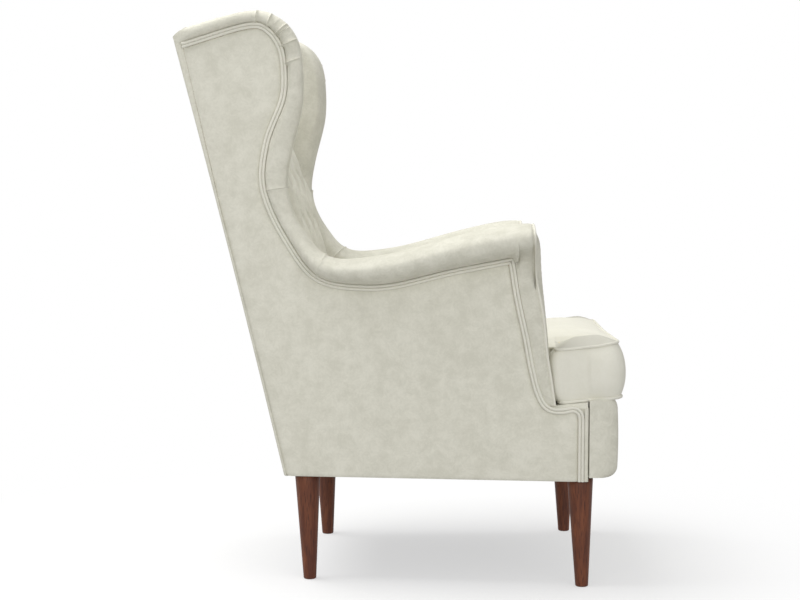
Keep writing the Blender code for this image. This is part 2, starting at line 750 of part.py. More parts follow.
def build_inside_back():
    """Tufted back, rolled over the top rail to the outer back."""
    face = smooth([back_face_point(*row) for row in BACK_FACE_SHARES], BACK_STEPS)
    roll = smooth([face[-1]] + [back_face_point(*row) for row in BACK_TOP_SHARES], SEAM_STEPS)[1:]
    shelf = POST_TOP + POST_WIDTH / 2.0 + GAP
    rear_top = WING_SEAM[0].y
    web_face = PANEL_THICKNESS + POST_DEPTH + WEB_THICKNESS + 4.0 * GAP
    low = face[0].y
    rear = [Vector((back_y(rear_top) - GAP, rear_top + GAP))]
    rear.append(Vector((back_y(rear_top) - PANEL_THICKNESS - 2.0 * GAP, rear_top)))
    rear.append(Vector((back_y(shelf) - PANEL_THICKNESS - 2.0 * GAP, shelf)))
    rear.append(Vector((back_y(shelf) - web_face, shelf)))
    rear.append(Vector((back_y(low) - web_face, low)))
    columns = int(round(2.0 * side_half(0.0, HEIGHT) / (TUFT_WIDTH / TUFT_COLUMNS)))
    columns += columns % 2
    rings = []
    for k in range(columns + 1):
        share = 2.0 * k / columns - 1.0
        ring = []
        for point in face + roll + rear:
            ring.append(back_pad_point(share, point, point in face))
        rings.append(ring)
    loft("inside_back_pad", rings, "velvet")


def back_pad_point(share, point, tufted):
    """A point of the inside back, at a share of its half width and a (y, z) of its section."""
    half = side_half(point.x, point.y) - ROLL_WIDTH - GAP
    if not tufted:
        return Vector((share * half, point.x, point.y))
    sunk = tuft(share * half, point.y - BASE_BOTTOM - TUFT_START)
    edge = 1.0 - ease((1.0 - abs(share)) / TUFT_EDGE_SHARE)
    y = point.x + lerp(sunk, TUFT_DEPTH, edge)
    half = side_half(y, point.y) - ROLL_WIDTH - GAP
    return Vector((share * half, y, point.y))


def round_corners(corners, steps):
    """Closed outline through corners, each given with its radius."""
    result = []
    count = len(corners)
    for i in range(count):
        point, radius = corners[i]
        before = (corners[i - 1][0] - point).normalized()
        after = (corners[(i + 1) % count][0] - point).normalized()
        if radius == 0.0:
            result.append(point.copy())
            continue
        half_angle = before.angle(after) / 2.0
        reach = radius * cos(half_angle) / sin(half_angle)
        start = point + before * reach
        end = point + after * reach
        for k in range(steps + 1):
            t = k / steps
            a = start.lerp(point, t)
            b = point.lerp(end, t)
            result.append(a.lerp(b, t))
    return result


def cushion_outline():
    """The cushion's seam, seen from above, from the middle of its front round its left side."""
    front = CUSHION_FRONT
    welt_room = 2.0 * WELT_RADIUS + GAP
    z = seat_z(0.0)
    ear_front = side_half(front, z) - EAR_INSET
    ear_rear = side_half(-EAR_REAR, z) - EAR_INSET
    room = ROLL_WIDTH + CUSHION_CLEARANCE + welt_room
    body_front = side_half(-EAR_REAR, z) - room
    rear = back_face_point(BACK_FACE_SHARES[0][0], 1.0).x - 2.0 * CUSHION_CLEARANCE - welt_room
    body_rear = side_half(rear, z) - room
    body_middle = lerp(body_front, body_rear, HALF_SHARE)
    half = [
        (Vector((0.0, front + SEAM_DRAW)), 0.0),
        (Vector((ear_front, front)), CORNER_RADIUS),
        (Vector((ear_rear - SEAM_DRAW / 2.0, lerp(front, -EAR_REAR, HALF_SHARE))), 0.0),
        (Vector((ear_rear, -EAR_REAR)), EAR_RADIUS),
        (Vector((body_front, -EAR_REAR)), NOTCH_RADIUS),
        (Vector((body_middle - SEAM_DRAW, lerp(-EAR_REAR, rear, HALF_SHARE))), 0.0),
        (Vector((body_rear, rear)), CORNER_RADIUS),
        (Vector((0.0, rear - SEAM_DRAW)), 0.0),
    ]
    other = [(Vector((-p.x, p.y)), r) for p, r in half[1:-1]]
    ring = round_corners(half + other[::-1], CORNER_STEPS)
    result = []
    for i, point in enumerate(ring):
        after = ring[(i + 1) % len(ring)]
        runs = max(1, round((after - point).length / OUTLINE_STEP))
        for k in range(runs):
            result.append(point.lerp(after, k / runs))
    return result


def inward_mitres(ring):
    """At each point of a closed outline, its inward direction and how far a mitre runs along it."""
    result = []
    count = len(ring)
    for i, point in enumerate(ring):
        before = (point - ring[i - 1]).normalized()
        after = (ring[(i + 1) % count] - point).normalized()
        n0 = Vector((-before.y, before.x))
        n1 = Vector((-after.y, after.x))
        middle = (n0 + n1).normalized()
        result.append((middle, 1.0 / max(middle.dot(n0), MITRE_LIMIT)))
    return result


def inset_ring(ring, distance):
    """A closed outline drawn in by a distance."""
    mitres = inward_mitres(ring)
    return [point + inward * distance * stretch for point, (inward, stretch) in zip(ring, mitres)]


CUSHION_OUTLINE = cushion_outline()
CUSHION_OUTLINE_REAR = max(p.y for p in CUSHION_OUTLINE)
CUSHION_HUB = Vector((0.0, (CUSHION_FRONT - EAR_REAR) / 2.0))


def cushion_point(p, height):
    """From the cushion's own flat frame to its raked place on the deck."""
    return Vector((p.x, p.y + CUSHION_LEAN * height, seat_z(p.y) + height))


def puff_at(p):
    """How far the boxing stands out of the seams there: most at the front and the ears."""
    start = CUSHION_FRONT + CORNER_RADIUS
    end = -EAR_REAR - EAR_RADIUS
    share = ease((p.y - start) / (end - start))
    return lerp(CUSHION_FRONT_PUFF, CUSHION_SIDE_PUFF, share)


def crown_at(p, share):
    """Height of the crown over the top seam, at a place on a ring of that share."""
    rise = sin(pi / 2.0 * min((1.0 - share) / CROWN_EDGE_SHARE, 1.0))
    rear = CUSHION_OUTLINE_REAR - CUSHION_FRONT
    along = (p.y - CUSHION_HUB.y) / rear
    across = 2.0 * p.x / BASE_WIDTH
    return CUSHION_CROWN * rise * (1.0 - CROWN_FALL_SHARE * (along ** 2 + across ** 2))


def cushion_rings(inset):
    """Rings from the bottom seam up the boxing and over the crown, and the crown's middle."""
    seam = inset_ring(CUSHION_OUTLINE, inset) if inset > 0.0 else CUSHION_OUTLINE
    low = inset
    high = CUSHION_THICKNESS - inset
    rings = [[cushion_point(p, low) for p in seam]]
    for share in BOXING_RING_SHARES:
        ring = []
        for p, (inward, _) in zip(seam, inward_mitres(seam)):
            puff = puff_at(p) * sin(pi * share)
            ring.append(cushion_point(p - inward * puff, lerp(low, high, share)))
        rings.append(ring)
    rings.append([cushion_point(p, high) for p in seam])
    for share in CROWN_RING_SHARES:
        ring = []
        for p in seam:
            place = CUSHION_HUB.lerp(p, share)
            ring.append(cushion_point(place, high + crown_at(place, share)))
        rings.append(ring)
    return rings, cushion_point(CUSHION_HUB, high + crown_at(CUSHION_HUB, 0.0))


def cushion_faces(rings, first, skip):
    """Faces of one cushion skin whose vertices start at a number, without those skipped."""
    count = len(rings[0])
    faces = []
    for i in range(len(rings) - 1):
        for k in range(count):
            if (i, k) in skip:
                continue
            n = (k + 1) % count
            a = first + i * count
            b = a + count
            faces.append((a + k, a + n, b + n))
            faces.append((a + k, b + n, b + k))
    faces.append(tuple(first + k for k in range(count))[::-1])
    top = first + (len(rings) - 1) * count
    hub = first + len(rings) * count
    for k in range(count):
        faces.append((top + k, top + (k + 1) % count, hub))
    return faces


def zip_faces():
    """Places on the rear boxing that the zip closes, as (band, place round the outline)."""
    band = 1 + BOXING_RING_SHARES.index(ZIP_RING_SHARE)
    rear = max(p.y for p in CUSHION_OUTLINE)
    found = []
    count = len(CUSHION_OUTLINE)
    for k in range(count):
        middle = (CUSHION_OUTLINE[k] + CUSHION_OUTLINE[(k + 1) % count]) / 2.0
        if middle.y > rear - 2.0 * SEAM_DRAW and abs(middle.x) < ZIP_LENGTH / 2.0:
            found.append((band, k))
    return found


def build_cushion():
    """Cover with its zipped rear opening, foam core and the two cords at its seams."""
    skip = zip_faces()
    outer, outer_hub = cushion_rings(0.0)
    inner, inner_hub = cushion_rings(CLOTH_THICKNESS)
    vertices = [p for ring in outer for p in ring] + [outer_hub]
    first = len(vertices)
    vertices += [p for ring in inner for p in ring] + [inner_hub]
    faces = cushion_faces(outer, 0, skip)
    faces += [face[::-1] for face in cushion_faces(inner, first, skip)]
    count = len(CUSHION_OUTLINE)
    band = skip[0][0]
    places = [k for _, k in skip]
    for k in places:
        n = (k + 1) % count
        for row in (band, band + 1):
            a = row * count + k
            b = row * count + n
            faces.append((a, b, first + b, first + a))
    for k, other in ((places[0], places[0]), (places[-1], (places[-1] + 1) % count)):
        a = band * count + other
        b = (band + 1) * count + other
        faces.append((a, b, first + b, first + a))
    add_object("cushion_cover", vertices, faces, "velvet")
    core, hub = cushion_rings(CLOTH_THICKNESS + GAP)
    vertices = [p for ring in core for p in ring] + [hub]
    add_object("cushion_core", vertices, cushion_faces(core, 0, ()), "foam")
    build_zip(outer, inner, band, places)
    for label, height in (("top", CUSHION_THICKNESS - WELT_RADIUS), ("bottom", WELT_RADIUS)):
        line = []
        share = height / CUSHION_THICKNESS
        for p, (inward, _) in zip(CUSHION_OUTLINE, inward_mitres(CUSHION_OUTLINE)):
            swell = puff_at(p) * sin(pi * min(share, 1.0 - share) * 2.0)
            line.append(cushion_point(p - inward * (swell + WELT_RADIUS + GAP), height))
        tube("cushion_welt_" + label, line, WELT_RADIUS, WELT_SIDES, "welt_velvet", closed=True)


def build_zip(outer, inner, band, places):
    """Tape and slider strip that closes the opening in the rear boxing."""
    count = len(CUSHION_OUTLINE)
    ends = places + [(places[-1] + 1) % count]
    middle = (outer[band][ends[0]] + outer[band + 1][ends[-1]]) / 2.0
    rings = []
    for k in ends:
        ring = []
        for p in (outer[band][k], outer[band + 1][k], inner[band + 1][k], inner[band][k]):
            toward = Vector((middle.x - p.x, 0.0, 0.0))
            slim = Vector((0.0, 0.0, 1.0 if p.z < middle.z else -1.0)) * GAP * 2.0
            ring.append(p + toward * (GAP * 2.0 / (ZIP_LENGTH * HALF_SHARE)) + slim)
        rings.append(ring)
    loft("cushion_zip", rings, "zip_tape")


def build_deck():
    """Cloth and pad under the cushion, on the springs, with ears over the front corners."""
    rear = back_face_point(0.0, 1.0).x - CUSHION_CLEARANCE
    front = -BASE_FACE
    ear = -EAR_REAR + EAR_RADIUS * HALF_SHARE
    inner = ROLL_WIDTH + GAP
    plan = []
    for y, inset in ((front, DECK_INSET), (ear, DECK_INSET), (ear, inner), (rear, inner)):
        plan.append((y, side_half(y, BASE_BOTTOM) - inset))
    outline = [(half, y) for y, half in plan] + [(-half, y) for y, half in plan[::-1]]
    rings = []
    for level in (deck_bottom, deck_top):
        rings.append([Vector((x, y, level(y))) for x, y in outline])
    loft("seat_deck", rings, "black_cloth")


def rail_outline(front, rear, low, top):
    """Four-sided rail section whose top follows a sloping line."""
    corners = ((front, low), (rear, low), (rear, top(rear)), (front, top(front)))
    return [Vector(corner) for corner in corners]


def raked_outline(depth, low, high):
    """Section of a frame piece that stands against the outer back, of a given depth."""
    corners = ((rear_face(low) - depth, low), (rear_face(low), low),
               (rear_face(high), high), (rear_face(high) - depth, high))
    return [Vector(corner) for corner in corners]


def spring_seat(y):
    return deck_bottom(y) - 2.0 * SPRING_RADIUS - 2.0 * GAP


def block_top(y):
    return deck_bottom(y) - GAP


def inner_half(extra):
    """Half width of a rail's end that meets something in the layer inside the boards."""
    return lambda y, z: side_half(y, z) + INNER_LAYER - extra


def rear_face(z):
    """Front of the outer back panel, where the frame's rear faces lie."""
    return back_y(z) - PANEL_THICKNESS - GAP


def build_base():
    front = -BASE_FACE
    block_back = front + BLOCK_SIZE
    rear = rear_face(BASE_BOTTOM)
    rear_front = rear - BLOCK_SIZE
    rail_half = inner_half(BLOCK_SIZE + GAP)
    cross_prism("front_rail", rail_outline(front, front + RAIL_THICKNESS, FRAME_BOTTOM, spring_seat),
                rail_half, rail_half, "beech")
    cross_prism("rear_rail", rail_outline(rear - RAIL_THICKNESS, rear, FRAME_BOTTOM, spring_seat),
                rail_half, rail_half, "beech")
    places = (("front", front, block_back, block_top), ("rear", rear_front, rear, spring_seat))
    for label, side in SIDES:
        for row, y0, y1, top in places:
            outline = rail_outline(y0, y1, FRAME_BOTTOM, top)
            side_prism("corner_block_%s_%s" % (row, label), side, outline,
                       INNER_LAYER - BLOCK_SIZE, INNER_LAYER, "beech")
        side_rail(label, side)


def side_rail_top():
    return lerp(BASE_BOTTOM, deck_top(-ARM_TIP), SIDE_RAIL_TOP_SHARE)


def side_rail(label, side):
    top = side_rail_top()
    front = -BASE_TIP - WELT_BAND
    outline = [Vector((front, FRAME_BOTTOM)), Vector((rear_face(FRAME_BOTTOM), FRAME_BOTTOM)),
               Vector((rear_face(top), top)), Vector((front, top))]
    side_prism("side_rail_" + label, side, outline, BOARD_IN, BOARD_OUT, "beech")


def build_back_frame():
    foot = block_top(rear_face(BASE_BOTTOM))
    for label, side in SIDES:
        outline = raked_outline(POST_DEPTH, foot, POST_TOP)
        side_prism("back_post_" + label, side, outline, INNER_LAYER - POST_WIDTH, INNER_LAYER, "beech")
    half = inner_half(POST_WIDTH + GAP)
    top_rail = POST_TOP + POST_WIDTH / 2.0 - BACK_RAIL_HEIGHT
    bottom_rail = BASE_BOTTOM + BOTTOM_RAIL_LIFT
    for name, low in (("back_top_rail", top_rail), ("back_bottom_rail", bottom_rail)):
        outline = raked_outline(RAIL_THICKNESS, low, low + BACK_RAIL_HEIGHT)
        cross_prism(name, outline, half, half, "beech")
    low = bottom_rail + BACK_RAIL_HEIGHT
    high = top_rail
    for k in range(WEB_COUNT):
        z = lerp(low, high, (k + 1.0) / (WEB_COUNT + 1.0))
        y0 = rear_face(z) - POST_DEPTH - GAP
        rise = WEB_WIDTH / 2.0
        run = BACK_RAKE * rise
        corners = ((-run - WEB_THICKNESS, -rise), (run - WEB_THICKNESS, rise), (run, rise), (-run, -rise))
        outline = [Vector((y0 + dy, z + dz)) for dy, dz in corners]
        cross_prism("back_web_%d" % (k + 1), outline, inner_half(GAP), inner_half(GAP), "webbing")


def build_side_frame(label, side):
    """Plywood wing board, the arm rail that runs forward from it, and the post under its front."""
    seam = WING_SEAM[SEAM_STEPS:] + ARM_SEAM[1:]
    edge = offset(seam, GAP)
    joint = len(WING_SEAM[SEAM_STEPS:]) + BOARD_JOINT_ROW * SEAM_STEPS - 1
    low = BASE_BOTTOM + WING_BOARD_LIFT
    outline = edge[:joint + 1]
    outline.append(Vector((edge[joint].x, low)))
    outline.append(Vector((rear_face(low), low)))
    rear_top = WING_SEAM[0].y - 2.0 * GAP
    outline.append(Vector((rear_face(rear_top), rear_top)))
    side_prism("wing_board_" + label, side, outline, BOARD_IN, BOARD_OUT, "plywood")

    arm_end = len(WING_SEAM[SEAM_STEPS:]) + CORNER_STATION
    upper = [p.copy() for p in edge[joint:arm_end]]
    upper[0].x -= GAP
    lower = [p.copy() for p in offset(seam, ARM_RAIL_HEIGHT)[joint:arm_end]]
    lower[0].x = upper[0].x
    lower[-1].x = upper[-1].x
    side_prism("arm_rail_" + label, side, upper + lower[::-1], BOARD_IN, BOARD_OUT, "beech")

    front = offset(FRONT_LINE, -WELT_BAND + GAP)
    foot = side_rail_top() + GAP
    head = lower[-1].y - GAP
    face = []
    for k in range(STUMP_STEPS + 1):
        z = lerp(foot, head, k / STUMP_STEPS)
        level = max(z, lerp(foot, head, 1.0 / STUMP_STEPS))
        face.append(Vector((max(at_height(front, level), -ARM_TIP), z)))
    rear = face[-1].x + STUMP_DEPTH
    top = at_depth(lower, rear) - GAP
    outline = face + [Vector((rear, top)), Vector((rear, foot))]
    side_prism("arm_stump_" + label, side, outline, BOARD_IN, BOARD_OUT, "beech")


def build_springs():
    """Sinuous springs from the front rail to the rear rail."""
    front = -BASE_FACE + RAIL_THICKNESS / 2.0
    rear = rear_face(BASE_BOTTOM) - RAIL_THICKNESS / 2.0
    half = (side_half(rear, BASE_BOTTOM) - ROLL_WIDTH) * SPRING_SPREAD_SHARE - SPRING_SWING / 2.0
    waves = int((rear - front) / SPRING_PITCH)
    pitch = (rear - front) / waves
    for n in range(SPRING_COUNT):
        x0 = lerp(-half, half, n / (SPRING_COUNT - 1.0))
        line = []
        for k in range(waves + 1):
            swing = SPRING_SWING * (1.0 if k % 2 else -1.0)
            y = front + k * pitch
            for step in (-SPRING_BEND_SHARE, SPRING_BEND_SHARE):
                place = y + step * pitch
                if front <= place <= rear:
                    line.append((x0 + swing, place))
        line.insert(0, (x0 - SPRING_SWING, front))
        line.append((line[-1][0], rear))
        points = [Vector((x, y, deck_bottom(y) - GAP - SPRING_RADIUS)) for x, y in line]
        tube("seat_spring_%d" % (n + 1), points, SPRING_RADIUS, SPRING_SIDES, "spring_steel")


def leg_places():
    rear_y = back_y(BASE_BOTTOM) - REAR_LEG_SETBACK
    for row, y in (("front", -FRONT_LEG_PLACE), ("rear", rear_y)):
        for label, side in SIDES:
            yield "%s_%s" % (row, label), side * (side_half(y, BASE_BOTTOM) - LEG_INSET), y


def build_legs():
    """Turned tapered legs, each with a bolt that goes up into its corner block."""
    top = FRAME_BOTTOM - GAP
    profile = [(0.0, LEG_FOOT_RADIUS - LEG_FOOT_BEVEL), (LEG_FOOT_BEVEL, LEG_FOOT_RADIUS),
               (top, LEG_TOP_RADIUS)]
    for label, x, y in leg_places():
        rings = []
        for z, radius in profile:
            ring = []
            for k in range(LEG_SIDES):
                angle = 2.0 * pi * k / LEG_SIDES
                lean = -LEG_LEAN * (1.0 - z / top)
                ring.append(Vector((x + radius * cos(angle), y + lean + radius * sin(angle), z)))
            rings.append(ring)
        hole = BOLT_RADIUS + GAP
        depth = top - BOLT_LENGTH / 2.0 - GAP
        for z in (top, depth):
            ring = []
            for k in range(LEG_SIDES):
                angle = 2.0 * pi * k / LEG_SIDES
                ring.append(Vector((x + hole * cos(angle), y + hole * sin(angle), z)))
            rings.append(ring)
        loft("leg_" + label, rings, "walnut")
        bolt = []
        for z in (top - BOLT_LENGTH / 2.0, top + BOLT_LENGTH / 2.0):
            bolt.append(Vector((x, y, z)))
        tube("leg_bolt_" + label, bolt, BOLT_RADIUS, BOLT_SIDES, "zinc_steel")


def drill_blocks():
    """Bolt holes in the corner blocks."""
    for label, x, y in leg_places():
        block = bpy.data.objects["corner_block_" + label]
        low = FRAME_BOTTOM - GAP
        high = FRAME_BOTTOM + BOLT_LENGTH / 2.0 + GAP
        mesh = bpy.data.meshes.new("bolt_hole_" + label)
        bm = bmesh.new()
        radius = BOLT_RADIUS + GAP
        place = Matrix.Translation(Vector((x, y, (low + high) / 2.0)))
        bmesh.ops.create_cone(bm, cap_ends=True, segments=BOLT_SIDES, radius1=radius, radius2=radius,
                              depth=high - low, matrix=place)
        bm.to_mesh(mesh)
        bm.free()
        cutter = bpy.data.objects.new("bolt_hole_" + label, mesh)
        bpy.context.scene.collection.objects.link(cutter)
        cutter.hide_render = True
        cutter.display_type = "WIRE"
        cut = block.modifiers.new("bolt_hole", "BOOLEAN")
        cut.object = cutter
        cut.operation = "DIFFERENCE"


def build_dust_cover():
    """Black cloth under the base, cut back at the corners round the legs."""
    front = -BASE_FACE + DUST_MARGIN / 2.0
    rear = back_y(BASE_BOTTOM) - DUST_MARGIN
    z = BASE_BOTTOM
    clear = LEG_TOP_RADIUS + DUST_MARGIN / 2.0
    leg_front = -FRONT_LEG_PLACE
    leg_rear = back_y(BASE_BOTTOM) - REAR_LEG_SETBACK
    half = []
    for y, inset in ((front, LEG_INSET + clear), (leg_front + clear, LEG_INSET + clear),
                     (leg_front + clear, DUST_MARGIN), (leg_rear - clear, DUST_MARGIN),
                     (leg_rear - clear, LEG_INSET + clear), (rear, LEG_INSET + clear)):
        half.append((side_half(y, z) - inset, y))
    outline = half + [(-x, y) for x, y in half[::-1]]
    rings = []
    for height in (z, z + DUST_THICKNESS):
        rings.append([Vector((x, y, height)) for x, y in outline])
    loft("dust_cover", rings, "black_cloth")


def main():
    for found in list(bpy.data.objects):
        bpy.data.objects.remove(found, do_unlink=True)
    build_base()
    build_back_frame()
    build_springs()
    build_deck()
    build_dust_cover()
    build_legs()
    drill_blocks()
    build_outer_back()
    build_inside_back()
    for label, side in SIDES:
        build_side_frame(label, side)
        build_side_panel(label, side)
        build_side_welt(label, side)
        build_wing_pad(label, side)
        build_arm_pad(label, side)
        build_arm_front_pad(label, side)
        build_arm_facing(label, side)
        build_facing_welt(label, side)
    build_front_border()
    build_cushion()


main()
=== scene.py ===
"""Looks of the velvet wingback armchair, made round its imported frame. Metres, +Z up, front at -Y.

Left and right are those of a person sitting in the chair, so left is +X. A place on the side of
the chair is given as (y, z) in the side plane and out, the distance out of that plane.
"""
from math import cos, pi, radians, sin

import bmesh
import bpy
import numpy as np
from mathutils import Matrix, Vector, geometry, noise


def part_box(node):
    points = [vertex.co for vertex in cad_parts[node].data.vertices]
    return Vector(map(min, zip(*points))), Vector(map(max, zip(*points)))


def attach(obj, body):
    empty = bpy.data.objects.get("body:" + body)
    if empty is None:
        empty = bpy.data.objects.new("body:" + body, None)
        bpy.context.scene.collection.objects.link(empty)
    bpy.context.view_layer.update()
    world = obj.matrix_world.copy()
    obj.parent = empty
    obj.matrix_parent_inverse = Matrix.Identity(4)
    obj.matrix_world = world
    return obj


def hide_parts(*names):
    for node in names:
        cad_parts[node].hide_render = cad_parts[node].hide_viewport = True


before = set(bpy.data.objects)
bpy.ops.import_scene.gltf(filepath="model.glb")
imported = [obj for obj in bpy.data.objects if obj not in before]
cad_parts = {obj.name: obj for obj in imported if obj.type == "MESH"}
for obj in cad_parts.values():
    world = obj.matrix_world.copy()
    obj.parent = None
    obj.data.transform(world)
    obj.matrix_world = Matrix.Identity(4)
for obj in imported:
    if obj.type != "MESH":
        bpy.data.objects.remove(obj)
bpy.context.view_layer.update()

bl_info = {
    "name": "Velvet wingback armchair",
    "version": (1, 0, 0),
    "blender": (4, 5, 0),
    "location": "View3D > Sidebar > Armchair",
    "description": "Covers, cushion, piping, legs and studio of a velvet wingback armchair",
    "category": "Add Mesh",
}

CHAIR = "chair_frame"
CUSHION = "seat_cushion"
LEFT = 1
RIGHT = -1
SIDES = (("left", LEFT), ("right", RIGHT))

# Frame's lines, as the construction has them
HEIGHT = 1.040
DEPTH = 0.815
BASE_WIDTH = 0.600
LEG_LENGTH = 0.196
ARM_HEIGHT = 0.663
WAIST_HEIGHT = 0.716
CUSHION_SEAM_HEIGHT = 0.4435
BACK_RAKE = 0.2475
SEAT_RAKE = 0.105
SIDE_TAPER = 0.0935
SIDE_FLARE = 0.0375
GAP = 0.0003
PANEL_THICKNESS = 0.0035
BOARD_THICKNESS = 0.018
TOP_CORNER_DROP = 0.050
WING_DEPTH = 0.197
ARM_TIP = 0.2350
ARM_CORNER = 0.1958
BASE_TIP = 0.3230
BASE_FACE = 0.3385
ARM_VALLEY = 0.825 * ARM_HEIGHT
ROLL_WIDTH = 0.065
WING_BULGE = 0.012
ARM_BULGE = 0.065
LINING_SETBACK = 0.0505
WELT_BAND = 0.0114
FLANGE_TOP = 0.0140
FLANGE_BOTTOM = 0.0042
FLANGE_KNEE = LEG_LENGTH + 0.36 * (HEIGHT - LEG_LENGTH)
POST_TOP_DROP = 0.049
POST_WIDTH = 0.030
DECK_THICKNESS = 0.005
DECK_INSET = 0.001
CUSHION_THICKNESS = 0.0945
CUSHION_CROWN = 0.029
CUSHION_FRONT_PUFF = 0.0135
CUSHION_SIDE_PUFF = 0.0045
CUSHION_LEAN = 0.060
CUSHION_CLEARANCE = 0.0030
EAR_REAR = 0.2890
EAR_INSET = 0.0100
CORNER_RADIUS = 0.026
EAR_RADIUS = 0.014
NOTCH_RADIUS = 0.010
SEAM_DRAW = 0.003
ZIP_LENGTH = 0.300
BACK_THICKNESS = 0.150
TUFT_START = 0.330
TUFT_ROWS = 5
BORDER_THICKNESS = 0.053
BORDER_ROUND = 0.020
BORDER_CLEARANCE = 0.008
FACING_RAKE = 0.1240
FACING_CROWN_TOP = 0.0120
FACING_CROWN_BOTTOM = 0.0025
BOARD_IN = -PANEL_THICKNESS - GAP - BOARD_THICKNESS
INNER_LAYER = BOARD_IN - GAP
CUSHION_FRONT = -DEPTH / 2.0 + CUSHION_FRONT_PUFF - CUSHION_LEAN * CUSHION_THICKNESS / 2.0

# Looks of the covers and the cushion
LINING_TUCK = 0.0050        # how far the arm's foot reaches down beside the deck's edge
DECK_TUCK = 0.075           # how far the deck's cloth runs back under the inside back
CREASE_REAR = 0.208         # crease of the ears, out from the middle, at the ears' rear edge
CREASE_SPLAY = 0.553        # how much further out the crease lies per metre further forward
CREASE_SHALLOW = 0.0012     # depth of the crease in front
CREASE_DEEP = 0.0080        # depth of the crease at the ears' rear edge
LOBE_FRONT = 0.0180         # height of the ears' tops outside the crease
LOBE_REAR = 0.0150
FRONT_LIFT = 0.0032         # how much the front corners of the top are filled up
EAR_PUFF = 0.0196           # bulge of the ears against the arms
EDGE_SAG = 0.0035           # how far the cushion presses the border's and the deck's edges down
EAR_PAINTED_SHADE = 0.22              # painted shade: how much darker the velvet is made outside the crease, as if less light fell there
EAR_FLAT = 0.28             # how much lower the crown stays on the ears, of its height
CROWN_FALL = 0.22           # how much lower the crown is at the rear edge, of its height
LEDGE_DROP = 0.0065         # from the deck's edge down to the ledge's piping
FRONT_EDGE = 0.3200         # edge of the side cover at the base's front
VALLEY = 0.0028             # dip of the covers along the seam of the wrapped strip
SLIT = 0.0019               # dark slit between the border's return and the border
SEAM_DIP = 0.0014           # dip of a roll's cover at its cross seam
SEAM_WIDTH = 0.0024         # from the middle of that dip to where most of it has gone
ARM_CREASE = 0.0120         # depth of the tuck above the piping's mitred corner
ROUND_OVER = 0.0045         # radius of the arm pad's edge, behind the facing
ROUND_LIMIT = 0.0009        # furthest that this edge is drawn in, so its cord covers it
FACING_EDGE = 0.0050        # facing's edge, in from the pad's skin
FACING_CORD = 0.0024        # radius
FACING_OVERLAP = 0.0008     # how far the cord lies further out, over the pad's edge
FACING_FORWARD = 0.0014     # how far the arm's front stands in front of its tip
FACING_DIPS = ((0.568, 0.055, 0.0064), (0.430, 0.050, 0.0026))  # height, reach and depth
ARM_SEAM_ROWS = (5.15, 4.75)    # where the arm's cross seam lies at the welt and on the crest
ARM_SEAM_DIP = 0.0022
TUFT_LIP = 0.0042           # rise of the padding beside the folds of the inside back
LINING_PUFF = 0.0035        # of the rolls' linings above the cushion
WRAP_PUFF = 0.0022          # of the pad round the arm's front post
WRAP_SOFT = (10.0, 15.0)    # reach of its rounded edge at the side and in front, in points
WRAP_SPAN = (17.0, 26.0)    # how far from its edge it is rounded, in points
VELVET_LIP = -0.150         # where the deck's velvet ends and its lining cloth starts
LEG_TOP_RADIUS = 0.0232
LEG_FOOT_RADIUS = 0.0118
LEG_FOOT_ROUND = 0.0034
LEG_LEAN = 0.0040           # how far the foot lies in front of the leg's top
SHARP = radians(50.0)       # edges that turn by more than this are shown sharp

# Rows down the wing: the welt's outer edge, then the roll's crest. First share: in front of the
# outer back, of the wing's depth. Second: from the waist up to the wing's peak.
WING_SHARES = [
    ((0.012, 0.812), (0.000, 0.850)),
    ((0.074, 0.821), (0.097, 0.892)),
    ((0.421, 0.880), (0.415, 0.948)),
    ((0.792, 0.932), (0.810, 0.997)),
    ((0.896, 0.907), (0.969, 0.975)),
    ((0.970, 0.852), (1.096, 0.914)),
    ((1.000, 0.787), (1.146, 0.824)),
    ((0.995, 0.710), (1.137, 0.728)),
    ((0.934, 0.543), (1.070, 0.537)),
    ((0.848, 0.448), (0.998, 0.423)),
    ((0.706, 0.324), (0.891, 0.296)),
    ((0.627, 0.235), (0.827, 0.216)),
    ((0.528, 0.083), (0.734, 0.086)),
    ((0.513, 0.000), (0.702, 0.015)),
]

# The same two lines from the waist to the arm's tip. First share: along. Second and third: above
# the valley, of the rise to the waist and of the rise to the arm's top.
ARM_SHARES = [
    ((0.000, 1.000, 0.000), (0.079, 1.0287, 0.000)),
    ((0.012, 0.888, 0.000), (0.084, 0.888, 0.000)),
    ((0.044, 0.675, 0.000), (0.111, 0.698, 0.000)),
    ((0.092, 0.450, 0.000), (0.153, 0.521, 0.000)),
    ((0.141, 0.237, 0.000), (0.194, 0.373, 0.000)),
    ((0.189, 0.101, 0.000), (0.234, 0.302, 0.000)),
    ((0.248, 0.030, 0.000), (0.282, 0.250, 0.030)),
    ((0.360, 0.000, 0.000), (0.377, 0.140, 0.220)),
    ((0.481, 0.000, 0.017), (0.493, 0.000, 0.500)),
    ((0.660, 0.000, 0.213), (0.669, 0.000, 0.705)),
    ((0.800, 0.000, 0.326), (0.810, 0.000, 0.850)),
    ((0.932, 0.000, 0.433), (0.937, 0.000, 0.950)),
    ((1.000, 0.000, 0.470), (1.000, 0.000, 0.950)),
]

# Front edge of the side cover, from its mitred corner to the ledge: forward, and height
FRONT_SHARES = [
    (0.000, 1.000), (0.078, 0.775), (0.204, 0.505), (0.288, 0.299), (0.382, 0.135), (0.491, 0.040),
    (0.622, 0.003), (0.802, 0.000), (0.940, 0.011), (0.988, -0.005), (1.000, -0.045),
]

